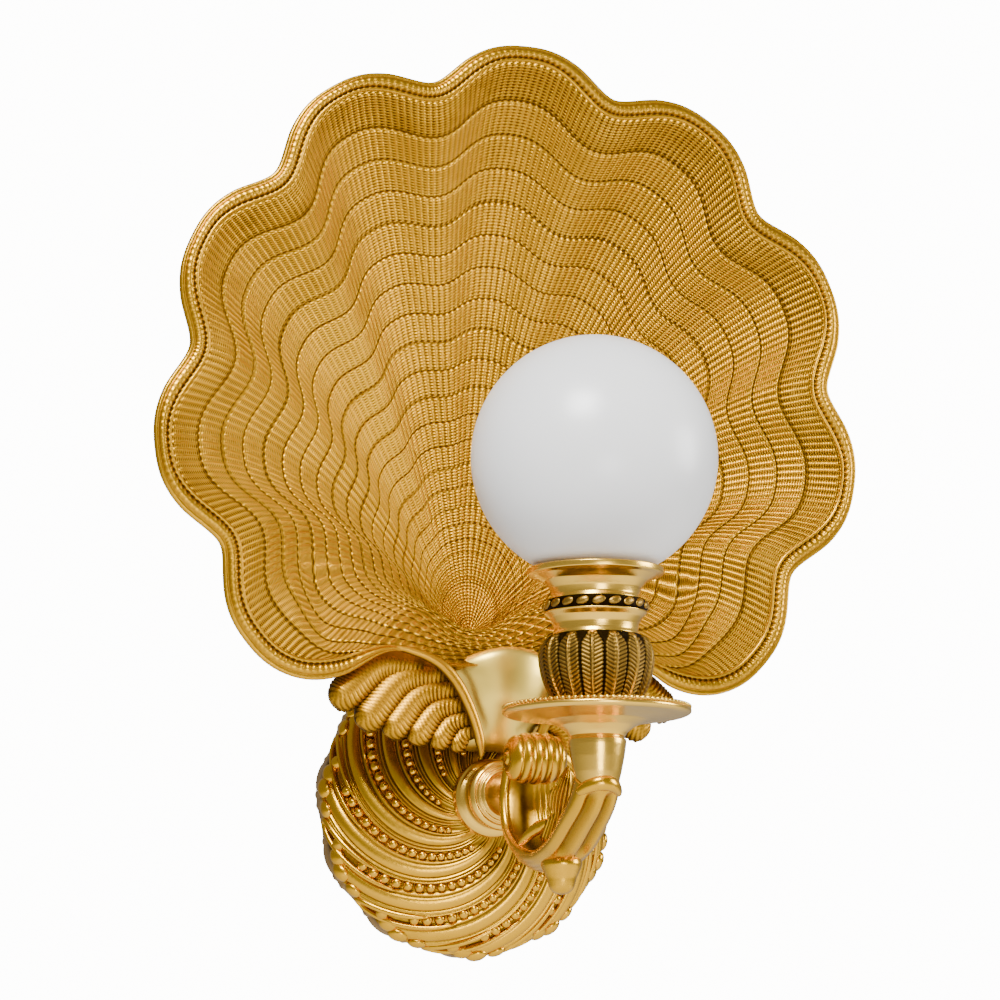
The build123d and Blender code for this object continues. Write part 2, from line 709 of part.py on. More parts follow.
# ======================================================================================
# the part
# ======================================================================================
def build():
    """Every piece of the sconce by its name."""
    bowl, hollow = shell_masses()
    knob = hinge_knob(bowl)
    fan = ear_fan()
    arm_body = arm(stem_outside())
    return {
        "wall_crossbar": wall_crossbar(),
        "fixing_nipple": fixing_nipple(),
        "fixing_washer": fixing_washer(),
        "fixing_locknut": fixing_locknut(),
        "backplate": backplate(),
        "shell_screws": shell_screws(),
        "shell": bowl - hollow,
        "hinge_knob": knob,
        "ear_left": fan - bowl - knob,
        "ear_right": mirror(fan, about=Plane.YZ) - bowl - knob,
        "wall_collar": wall_collar(),
        "arm": arm_body,
        "drop_finial": drop_finial(arm_body),
        "stem": stem(),
        "bobeche": bobeche(),
        "vase": vase(),
        "stem_nipple": stem_nipple(),
        "stem_washer": stem_washer(),
        "stem_locknut": stem_locknut(),
        "lower_cup": lower_cup(),
        "bead_ring": bead_ring(),
        "upper_cup": upper_cup(),
        "lampholder_body": lampholder_body(),
        "lampholder_shell": lampholder_shell(),
        "lampholder_contact": lampholder_contact(),
        "lamp_globe": lamp_globe(),
        "lamp_cap": lamp_cap(),
        "lamp_insulator": lamp_insulator(),
        "lamp_contact": lamp_contact_slug(),
    }


def main():
    """Write one STEP file for each piece."""
    os.makedirs("parts", exist_ok=True)
    for name, piece in build().items():
        piece.label = name
        export_step(piece, f"parts/{name}.step")


if __name__ == "__main__":
    main()
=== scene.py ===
"""Looks of the shell wall sconce: gilt shell, swirled wall plate, scroll arm, candle cup and opal globe.

Sizes are in millimetres in the part's frame: x to the right, "out" from the wall along -Y, z up.
A mesh is turned to metres when it is made.
"""

import logging
from dataclasses import dataclass
from enum import Enum
from math import cos, pi, radians, sin, sqrt

import bpy
import numpy as np
from mathutils import Matrix, Vector


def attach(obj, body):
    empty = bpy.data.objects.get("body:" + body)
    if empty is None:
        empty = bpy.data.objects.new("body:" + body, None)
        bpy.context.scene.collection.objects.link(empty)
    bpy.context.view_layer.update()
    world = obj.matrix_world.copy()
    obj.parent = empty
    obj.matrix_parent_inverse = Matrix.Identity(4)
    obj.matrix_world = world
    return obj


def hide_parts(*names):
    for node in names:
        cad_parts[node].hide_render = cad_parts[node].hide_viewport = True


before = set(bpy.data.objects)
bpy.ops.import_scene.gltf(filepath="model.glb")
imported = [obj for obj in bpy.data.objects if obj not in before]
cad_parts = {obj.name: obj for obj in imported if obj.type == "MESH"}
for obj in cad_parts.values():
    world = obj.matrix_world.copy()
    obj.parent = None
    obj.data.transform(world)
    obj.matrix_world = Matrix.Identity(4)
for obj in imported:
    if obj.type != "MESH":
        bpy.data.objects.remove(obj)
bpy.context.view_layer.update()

LOG = logging.getLogger("sconce")
MM = 0.001
BODY = "sconce"
LAMP = "lamp"
# Distance of the lamp's axis from the wall.
LAMP_OUT = 137.5

Array = np.ndarray


# ---------------------------------------------------------------------------------------
# shapes as arrays
# ---------------------------------------------------------------------------------------
def ease(low: float, high: float, value: Array) -> Array:
    """Smooth step: 0 below low, 1 above high, a cubic between them."""
    share = np.clip((np.asarray(value, float) - low) / (high - low), 0.0, 1.0)
    return share * share * (3.0 - 2.0 * share)


def bell(value: Array, half_width: float) -> Array:
    """Raised cosine bell: 1 at zero, 0 from half_width on."""
    return 0.5 + 0.5 * np.cos(pi * np.clip(np.abs(value) / half_width, 0.0, 1.0))


def turns(count: int) -> Array:
    """Angles evenly round a circle, the last one short of the first."""
    return np.linspace(0, 2 * pi, count, endpoint=False)


def unit(vectors: Array) -> Array:
    """Vectors brought to length one along their last axis."""
    return vectors / np.maximum(np.linalg.norm(vectors, axis=-1, keepdims=True), 1e-9)


def run_along(points: Array) -> Array:
    """Length of a polyline up to each of its points."""
    return np.r_[0, np.cumsum(np.linalg.norm(np.diff(points, axis=0), axis=1))]


def faired(points: Array, count: int) -> Array:
    """Smooth curve through a few points, evenly spaced along its length.

    Each span is a cubic whose tangents are half the chord between the neighbours.

    Args:
        points: The points, one a row.
        count: How many points the curve gets.

    Returns:
        The curve's points.
    """
    knots = np.asarray(points, float)
    ends = np.vstack([2 * knots[0] - knots[1], knots, 2 * knots[-1] - knots[-2]])
    tangents = (ends[2:] - ends[:-2]) / 2
    place = np.linspace(0, len(knots) - 1, 40 * len(knots))
    span = np.minimum(place.astype(int), len(knots) - 2)
    t = (place - span)[:, None]
    curve = (
        (2 * t**3 - 3 * t**2 + 1) * knots[span]
        + (t**3 - 2 * t**2 + t) * tangents[span]
        + (3 * t**2 - 2 * t**3) * knots[span + 1]
        + (t**3 - t**2) * tangents[span + 1]
    )
    length = run_along(curve)
    even = np.linspace(0, length[-1], count)
    return np.stack([np.interp(even, length, curve[:, i]) for i in range(curve.shape[1])], axis=1)


def cornered(points: Array, radius: float = 0.25, steps: int = 3, spacing: float = 1.5) -> Array:
    """Straight-sided outline whose corners are rounded and whose sides are divided.

    Args:
        points: Corners in order, the ends open.
        radius: How far from a corner its rounding starts.
        steps: Points in a rounding, a quadratic curve.
        spacing: Longest step along a side.

    Returns:
        The outline's points.
    """
    knots = np.asarray(points, float)
    rows = [knots[:1]]
    for before, corner, after in zip(knots[:-2], knots[1:-1], knots[2:]):
        lead = before - corner
        follow = after - corner
        reach_in = min(radius, np.linalg.norm(lead) * 0.45)
        reach_out = min(radius, np.linalg.norm(follow) * 0.45)
        start = corner + unit(lead) * reach_in
        stop = corner + unit(follow) * reach_out
        t = np.linspace(0, 1, steps + 1)[:, None]
        rows.append((1 - t) ** 2 * start + 2 * t * (1 - t) * corner + t**2 * stop)
    rows.append(knots[-1:])
    line = np.vstack(rows)
    length = run_along(line)
    extra = np.arange(0, length[-1], spacing)
    place = np.unique(np.round(np.r_[length, extra], 4))
    return np.stack([np.interp(place, length, line[:, i]) for i in range(2)], axis=1)


def grid_faces(rows: int, columns: int, joined: bool) -> Array:
    """Quads of a grid that is round in its columns.

    Args:
        rows: Rows of the grid.
        columns: Its columns.
        joined: Whether the last row joins the first.

    Returns:
        Four vertex numbers a quad.
    """
    spans = rows if joined else rows - 1
    row, column = np.meshgrid(np.arange(spans), np.arange(columns), indexing="ij")
    below, above = row * columns, (row + 1) % rows * columns
    beside = (column + 1) % columns
    return np.stack([below + column, below + beside, above + beside, above + column], axis=-1).reshape(-1, 4)


def volume(points: Array, quads: Array, triangles: Array) -> float:
    """Signed volume of a closed mesh: the sum of its faces' tetrahedra to the origin.

    Args:
        points: Its vertices.
        quads: Four vertex numbers a face.
        triangles: Three vertex numbers a face.

    Returns:
        The volume, below 0 if the faces point inwards.
    """
    corners = np.vstack([quads[:, [0, 1, 2]], quads[:, [0, 2, 3]], triangles])
    a, b, c = points[corners[:, 0]], points[corners[:, 1]], points[corners[:, 2]]
    return float(np.einsum("ij,ij->", a, np.cross(b, c)) / 6)


@dataclass
class Sheet:
    """A closed surface on a grid that is round in its columns, with what its finish reads.

    Attributes:
        points: Rows, columns and x, y, z in millimetres.
        pattern: Two pattern coordinates for each span of rows, at its lower and its upper row,
            with one column more than points has.
        patina_and_shade: How dark each point is, 0 to 1, from patina and from painted shade in hollows and where parts
            meet.
        mask: Where the finish's pattern shows, 0 to 1.
        joined: Whether the last row joins the first. If not, a fan closes each end.
    """

    points: Array
    pattern: Array | None = None
    patina_and_shade: Array | None = None
    mask: Array | None = None
    joined: bool = False

    def fans(self, pattern: Array) -> tuple[Array, Array]:
        """Triangles that close the first and the last row round a centre each.

        Args:
            pattern: Pattern coordinates of the grid.

        Returns:
            The triangles' vertex numbers and pattern coordinates.
        """
        rows, columns = self.points.shape[:2]
        ring = np.arange(columns)
        after = np.roll(ring, -1)
        last = (rows - 1) * columns
        centre = np.full(columns, rows * columns)
        faces = [np.stack([centre, after, ring], axis=1), np.stack([centre + 1, last + ring, last + after], axis=1)]
        low, high = pattern[0, 0], pattern[-1, 1]
        middles = [np.broadcast_to(edge.mean(axis=0), (columns, 2)) for edge in (low, high)]
        corners = [np.stack([middles[0], low[1:], low[:-1]], axis=1),
                   np.stack([middles[1], high[:-1], high[1:]], axis=1)]
        return np.vstack(faces), np.vstack(corners)

    def skin(self, first: int) -> tuple[Array, ...]:
        """The sheet as faces that point outwards.

        Args:
            first: Number of its first vertex in the piece.

        Returns:
            Points, quads, triangles, the pattern coordinates of both, recess and mask. A fan's
            centre takes the mean recess and mask of the first row.
        """
        rows, columns = self.points.shape[:2]
        quads = grid_faces(rows, columns, self.joined)
        pattern = np.zeros((len(quads) // columns, 2, columns + 1, 2)) if self.pattern is None else self.pattern
        low, high = pattern[:, 0], pattern[:, 1]
        quad_uv = np.stack([low[:, :-1], low[:, 1:], high[:, 1:], high[:, :-1]], axis=2).reshape(-1, 4, 2)
        points = self.points.reshape(-1, 3)
        tris, tri_uv = np.zeros((0, 3), int), np.zeros((0, 3, 2))
        if not self.joined:
            points = np.vstack([points, self.points[0].mean(axis=0), self.points[-1].mean(axis=0)])
            tris, tri_uv = self.fans(pattern)
        faces = (quads, tris, quad_uv, tri_uv)
        if volume(points, quads, tris) < 0:
            faces = tuple(corners[:, ::-1] for corners in faces)
        shades = [np.zeros(len(points)) if values is None
                  else np.r_[values.ravel(), np.full(len(points) - rows * columns, values[0].mean())]
                  for values in (self.patina_and_shade, self.mask)]
        return points, faces[0] + first, faces[1] + first, *faces[2:], *shades


def make_piece(name: str, sheets: list[Sheet], nodes: list[str], material: bpy.types.Material,
               body: str = BODY) -> bpy.types.Object:
    """Join sheets into one mesh object and give it its place in the part.

    Args:
        name: The piece's name.
        sheets: Its surfaces.
        nodes: Frame nodes that it stands for.
        material: Its finish.
        body: The body that it moves with.

    Returns:
        The object.
    """
    skins: list[tuple[Array, ...]] = []
    count = 0
    for sheet in sheets:
        skins.append(sheet.skin(count))
        count += len(skins[-1][0])
    points, quads, tris, quad_uv, tri_uv, patina_and_shade, mask = (np.concatenate(arrays) for arrays in zip(*skins))
    mesh = bpy.data.meshes.new(name)
    mesh.vertices.add(count)
    mesh.vertices.foreach_set("co", (points * MM).astype(np.float32).ravel())
    loops = np.r_[quads.ravel(), tris.ravel()].astype(np.int32)
    mesh.loops.add(len(loops))
    mesh.loops.foreach_set("vertex_index", loops)
    sizes = np.r_[np.full(len(quads), 4), np.full(len(tris), 3)].astype(np.int32)
    mesh.polygons.add(len(sizes))
    mesh.polygons.foreach_set("loop_start", np.r_[0, np.cumsum(sizes)[:-1]].astype(np.int32))
    mesh.update(calc_edges=True)
    mesh.polygons.foreach_set("use_smooth", np.ones(len(sizes), bool))
    layer = mesh.uv_layers.new(name="pattern")
    layer.data.foreach_set("uv", np.r_[quad_uv.ravel(), tri_uv.ravel()].astype(np.float32))
    for label, values in (("patina_and_shade", patina_and_shade), ("mask", mask)):
        mesh.attributes.new(label, "FLOAT", "POINT").data.foreach_set("value", values.astype(np.float32))
    mesh.validate(clean_customdata=False)
    mesh.materials.append(material)
    piece = bpy.data.objects.new(name, mesh)
    bpy.context.scene.collection.objects.link(piece)
    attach(piece, body)
    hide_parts(*nodes)
    LOG.info("%s: %d faces", name, len(sizes))
    return piece


def turned(profile: Array, columns: int = 128, out: float = LAMP_OUT) -> Array:
    """Lathe an outline about an upright axis: (radius, z) goes round as (x, y, z).

    Args:
        profile: Radius and height of each row.
        columns: Steps round the axis.
        out: Distance of the axis from the wall.

    Returns:
        Grid of points.
    """
    angle = turns(columns)
    radius, height = profile[:, 0, None], profile[:, 1, None]
    return np.stack([radius * np.cos(angle), radius * np.sin(angle) - out, height + 0 * angle], axis=-1)


def turned_outward(profile: Array, columns: int = 128) -> Array:
    """Lathe an outline about the axis straight out of the wall: (radius, out) goes round.

    Args:
        profile: Radius and distance from the wall of each row.
        columns: Steps round the axis.

    Returns:
        Grid of points.
    """
    angle = turns(columns)
    radius, out = profile[:, 0, None], profile[:, 1, None]
    return np.stack([radius * np.cos(angle), -out + 0 * angle, radius * np.sin(angle)], axis=-1)


def surface_normals(points: Array) -> Array:
    """Unit normals of a grid that is round in its columns: the cross product of its two steps.

    Args:
        points: The grid.

    Returns:
        One vector a point.
    """
    along = np.roll(points, -1, axis=1) - np.roll(points, 1, axis=1)
    across = np.gradient(points, axis=0)
    return unit(np.cross(along, across))


def swept(curve: Array, pole: tuple[float, float, float], section: Array) -> Array:
    """Carry a section along a flat curve: its first coordinate goes across, its second along the pole.

    Args:
        curve: Points of a curve that lies square to the pole.
        pole: Direction square to the curve's plane.
        section: Rows along the curve, columns round the section and two offsets.

    Returns:
        Grid of points.
    """
    upright = np.array(pole, float)
    across = unit(np.cross(np.gradient(curve, axis=0), upright))
    return curve[:, None] + section[..., :1] * across[:, None] + section[..., 1:] * upright


def ringed(curve: Array, radius: Array, first: Array, second: Array, squash: float, columns: int) -> Array:
    """Ellipses round a curve: the radius goes along the first direction, squashed along the second.

    Args:
        curve: Points of the curve.
        radius: Radius at each point.
        first: Unit vector at each point.
        second: Unit vector square to it.
        squash: Height of an ellipse against its width.
        columns: Steps round the curve.

    Returns:
        Grid of points.
    """
    angle = turns(columns)[None, :, None]
    ring = np.cos(angle) * first[:, None] + squash * np.sin(angle) * second[:, None]
    return curve[:, None] + radius[:, None, None] * ring


def spokes(count: int) -> tuple[Array, Array, Array]:
    """Unit vectors away from, around and along an upright axis, at even steps round it.

    Args:
        count: How many steps.

    Returns:
        The three vectors of each step.
    """
    angle = turns(count)
    away = np.stack([np.cos(angle), np.sin(angle), 0 * angle], axis=1)
    up = np.broadcast_to([0.0, 0.0, 1.0], away.shape)
    return away, np.cross(up, away), up


def beads(centres: Array, axes: Array, sizes: Array, rows: int = 7, columns: int = 12) -> list[Sheet]:
    """Ellipsoids at the centres, each with its three axes and half sizes.

    Args:
        centres: One point a bead.
        axes: Three unit vectors a bead.
        sizes: Three half sizes a bead.
        rows: Rings of each bead.
        columns: Steps round each bead.

    Returns:
        One sheet a bead, with painted shade at its foot.
    """
    tall = np.linspace(0, pi, rows + 2)[1:-1]
    turn = turns(columns)
    ball = np.stack([np.sin(tall)[:, None] * np.cos(turn), np.sin(tall)[:, None] * np.sin(turn),
                     np.cos(tall)[:, None] + 0 * turn], axis=-1)
    grids = centres[:, None, None] + np.einsum("rck,nk,nkj->nrcj", ball, sizes, axes)
    # Painted shade where the bead meets the surface under it.
    foot = np.repeat(ease(0.05, -0.6, np.cos(tall))[:, None], columns, axis=1)
    return [Sheet(grid, patina_and_shade=0.55 * foot) for grid in grids]


# ---------------------------------------------------------------------------------------
# finishes
# ---------------------------------------------------------------------------------------
def linear(hex_colour: str) -> tuple[float, float, float, float]:
    """An sRGB hex colour as linear RGBA.

    Args:
        hex_colour: A hash and six digits.

    Returns:
        Red, green, blue and full alpha.
    """
    parts = [int(hex_colour[i:i + 2], 16) / 255 for i in (1, 3, 5)]
    red, green, blue = (c / 12.92 if c <= 0.04045 else ((c + 0.055) / 1.055) ** 2.4 for c in parts)
    return red, green, blue, 1.0


def add_node(tree: bpy.types.NodeTree, kind: str, settings: dict | None = None, links: dict | None = None,
             values: dict | None = None) -> bpy.types.Node:
    """Add a node with its settings, linked inputs and input values.

    Args:
        tree: The material's node tree.
        kind: Blender's node type.
        settings: Properties of the node.
        links: Input name or number to the output socket that feeds it.
        values: Input name or number to its value.

    Returns:
        The node.
    """
    node = tree.nodes.new(kind)
    for key, value in (settings or {}).items():
        setattr(node, key, value)
    for key, value in (values or {}).items():
        node.inputs[key].default_value = value
    for key, socket in (links or {}).items():
        tree.links.new(socket, node.inputs[key])
    return node


# Spacing of the tarnish's clouds, and the full height of the grain or the weave.
CLOUD_MM = 14.0
RELIEF_MM = 0.55


class Pattern(Enum):
    """Fine relief that a brass finish carries in its pattern coordinates."""

    NONE = "none"
    WOVEN = "woven"


@dataclass(frozen=True)
class Brass:
    """Gilt or aged brass: a metal darkened by patina and by painted shade in its recesses.

    Attributes:
        name: What the finish is.
        light: Colour on the rubbed heights.
        deep: Colour where patina and painted shade are full.
        roughness: Roughness on the heights.
        grain_mm: Size of the casting's grain.
        grain: Strength of the grain's relief.
        tarnish: How much the noise darkens open surfaces.
        pattern: Fine relief from the pattern coordinates.
    """

    name: str
    light: str
    deep: str
    roughness: float
    grain_mm: float = 1.2
    grain: float = 0.15
    tarnish: float = 0.15
    pattern: Pattern = Pattern.NONE

    def material(self) -> bpy.types.Material:
        """Build the finish: patina and painted shade, noise and pattern mix the two colours and bump the metal.

        Returns:
            The material.
        """
        material = bpy.data.materials.new(self.name)
        material.use_nodes = True
        tree = material.node_tree
        tree.nodes.clear()
        place = add_node(tree, "ShaderNodeTexCoord").outputs["Object"]
        fine = add_node(tree, "ShaderNodeTexNoise", links={"Vector": place},
                        values={"Scale": 1000 / self.grain_mm, "Detail": 3.0})
        broad = add_node(tree, "ShaderNodeTexNoise", links={"Vector": place},
                         values={"Scale": 1000 / CLOUD_MM, "Detail": 4.0, "Roughness": 0.6})
        # Patina and painted shade from the mesh darken the colour towards deep.
        patina_and_shade = add_node(tree, "ShaderNodeAttribute", {"attribute_name": "patina_and_shade"}).outputs["Fac"]
        speck = add_node(tree, "ShaderNodeMapRange", links={"Value": broad.outputs["Fac"]},
                         values={"From Min": 0.55, "From Max": 0.8, "To Min": 0.0, "To Max": self.tarnish})
        dark = add_node(tree, "ShaderNodeMath", {"operation": "ADD"}, {0: patina_and_shade, 1: speck.outputs["Result"]})
        height = fine.outputs["Fac"]
        shade = dark.outputs["Value"]
        strength = self.grain
        if self.pattern is not Pattern.NONE:
            relief = self.relief(tree)
            mask = add_node(tree, "ShaderNodeAttribute", {"attribute_name": "mask"}).outputs["Fac"]
            shown = add_node(tree, "ShaderNodeMath", {"operation": "MULTIPLY"}, {0: relief, 1: mask})
            # Painted shade in the pattern's pits: the low relief darkens the colour.
            low = add_node(tree, "ShaderNodeMapRange", links={"Value": relief},
                           values={"From Min": 0.6, "From Max": 0.1, "To Min": 0.0, "To Max": 0.68})
            pit = add_node(tree, "ShaderNodeMath", {"operation": "MULTIPLY"}, {0: low.outputs["Result"], 1: mask})
            shade = add_node(tree, "ShaderNodeMath", {"operation": "ADD", "use_clamp": True},
                             {0: shade, 1: pit.outputs["Value"]}).outputs["Value"]
            grain = add_node(tree, "ShaderNodeMath", {"operation": "MULTIPLY"}, {0: height}, {1: 0.25})
            height = add_node(tree, "ShaderNodeMath", {"operation": "ADD"},
                              {0: grain.outputs["Value"], 1: shown.outputs["Value"]}).outputs["Value"]
            strength = 1.0
        colour = add_node(tree, "ShaderNodeMix", {"data_type": "RGBA", "clamp_factor": True}, {0: shade},
                          {6: linear(self.light), 7: linear(self.deep)})
        rough = add_node(tree, "ShaderNodeMapRange", links={"Value": shade},
                         values={"To Min": self.roughness, "To Max": min(self.roughness + 0.25, 0.9)})
        bump = add_node(tree, "ShaderNodeBump", links={"Height": height},
                        values={"Strength": strength, "Distance": RELIEF_MM * MM})
        shader = add_node(tree, "ShaderNodeBsdfPrincipled",
                          links={"Base Color": colour.outputs[2], "Roughness": rough.outputs["Result"],
                                 "Normal": bump.outputs["Normal"]},
                          values={"Metallic": 1.0})
        add_node(tree, "ShaderNodeOutputMaterial", links={"Surface": shader.outputs["BSDF"]})
        return material

    def relief(self, tree: bpy.types.NodeTree) -> bpy.types.NodeSocket:
        """Height of the fine relief: 1 less pits, where a wide wave and a narrow one across it are both low.

        Args:
            tree: The material's node tree.

        Returns:
            The socket that carries the height.
        """
        uv = add_node(tree, "ShaderNodeUVMap", {"uv_map": "pattern"}).outputs["UV"]
        split = add_node(tree, "ShaderNodeSeparateXYZ", links={"Vector": uv})
        waves = []
        for axis in ("X", "Y"):
            turn = add_node(tree, "ShaderNodeMath", {"operation": "MULTIPLY"}, {0: split.outputs[axis]}, {1: 2 * pi})
            wave = add_node(tree, "ShaderNodeMath", {"operation": "COSINE"}, {0: turn.outputs["Value"]})
            waves.append(add_node(tree, "ShaderNodeMapRange", links={"Value": wave.outputs["Value"]},
                                  values={"From Min": -1.0, "From Max": 1.0}).outputs["Result"])
        gaps = [add_node(tree, "ShaderNodeMath", {"operation": "SUBTRACT"}, {1: wave}, {0: 1.0}).outputs["Value"]
                for wave in waves]
        wide = add_node(tree, "ShaderNodeMath", {"operation": "POWER"}, {0: gaps[0]}, {1: 0.6})
        pit = add_node(tree, "ShaderNodeMath", {"operation": "MULTIPLY"}, {0: wide.outputs["Value"], 1: gaps[1]})
        slot = add_node(tree, "ShaderNodeMath", {"operation": "MULTIPLY_ADD"}, {0: wide.outputs["Value"]},
                        {1: 0.35, 2: 0.0})
        dug = add_node(tree, "ShaderNodeMath", {"operation": "MULTIPLY_ADD"}, {0: pit.outputs["Value"],
                       2: slot.outputs["Value"]}, {1: 0.65})
        return add_node(tree, "ShaderNodeMath", {"operation": "SUBTRACT"}, {1: dug.outputs["Value"]},
                        {0: 1.0}).outputs["Value"]


@dataclass(frozen=True)
class Plain:
    """A plain finish without a pattern.

    Attributes:
        name: What the finish is.
        colour: Its colour.
        metallic: 1 for a metal.
        roughness: Its roughness.
        subsurface: How much light spreads under the surface.
        coat: Strength of a clear gloss.
    """

    name: str
    colour: str
    metallic: float
    roughness: float
    subsurface: float = 0.0
    coat: float = 0.0

    def material(self) -> bpy.types.Material:
        """Build the finish on the shader's own sockets.

        Returns:
            The material.
        """
        material = bpy.data.materials.new(self.name)
        material.use_nodes = True
        shader = material.node_tree.nodes["Principled BSDF"]
        shader.inputs["Base Color"].default_value = linear(self.colour)
        shader.inputs["Metallic"].default_value = self.metallic
        shader.inputs["Roughness"].default_value = self.roughness
        shader.inputs["Subsurface Weight"].default_value = self.subsurface
        shader.inputs["Subsurface Radius"].default_value = (1.0, 0.95, 0.9)
        shader.inputs["Subsurface Scale"].default_value = 0.01
        shader.inputs["Coat Weight"].default_value = self.coat
        return material


# Fire-gilt cast brass: rubbed gold on the heights, painted brown shade in the weave's pits.
SHELL_GILT = Brass("gilt_shell_brass", "#D09A1C", "#553608", 0.31, 1.0, 0.25, 0.3, Pattern.WOVEN)
# The same gilding on castings whose relief is modelled.
CAST_GILT = Brass("gilt_cast_brass", "#DBA521", "#4E3307", 0.26, 1.6, 0.12, 0.2)
# The same casting left matt, as its fine ropes can't be burnished, in a darker colour that is painted shade.
MATT_SHADED_GILT = Brass("matt_gilt_painted_darker", "#C6901A", "#4C3109", 0.37, 1.6, 0.12, 0.2)
# Turned brass, satin polished and lacquered: pale gold with soft broad reflections.
TURNED_SATIN = Brass("satin_turned_brass", "#F2C24C", "#86600F", 0.24, 0.6, 0.04, 0.05)
# The apron's broader satin: brushed by hand, so that its reflections run together, and painted lighter than the turned
# satin as painted light.
PAINTED_LIGHT_SATIN = Brass("brushed_brass_painted_light", "#FFDC62", "#9A721C", 0.38, 0.6, 0.04, 0.05)
# Antique bronze: dark brown in the veins, dull straw colour where it is rubbed.
ANTIQUE = Brass("antique_bronze", "#94722E", "#190F03", 0.36, 0.8, 0.2, 0.35)
# Zinc-plated steel of the hidden fixings.
PLATED = Plain("zinc_plated_steel", "#B9B9B4", 1.0, 0.42)
# Black phenolic of the lampholder.
PHENOLIC = Plain("black_phenolic", "#15130F", 0.0, 0.45)
# Thin pressed brass of the lampholder's contacts.
PRESSED = Plain("pressed_brass", "#D9B25E", 1.0, 0.32)
# Nickel-plated cap of the lamp.
NICKEL = Plain("nickel_plated_cap", "#C9C6BF", 1.0, 0.25)
# Opal glass: white all through, with a polished skin.
OPAL = Plain("opal_glass", "#FBFAF8", 0.0, 0.3, 0.4)


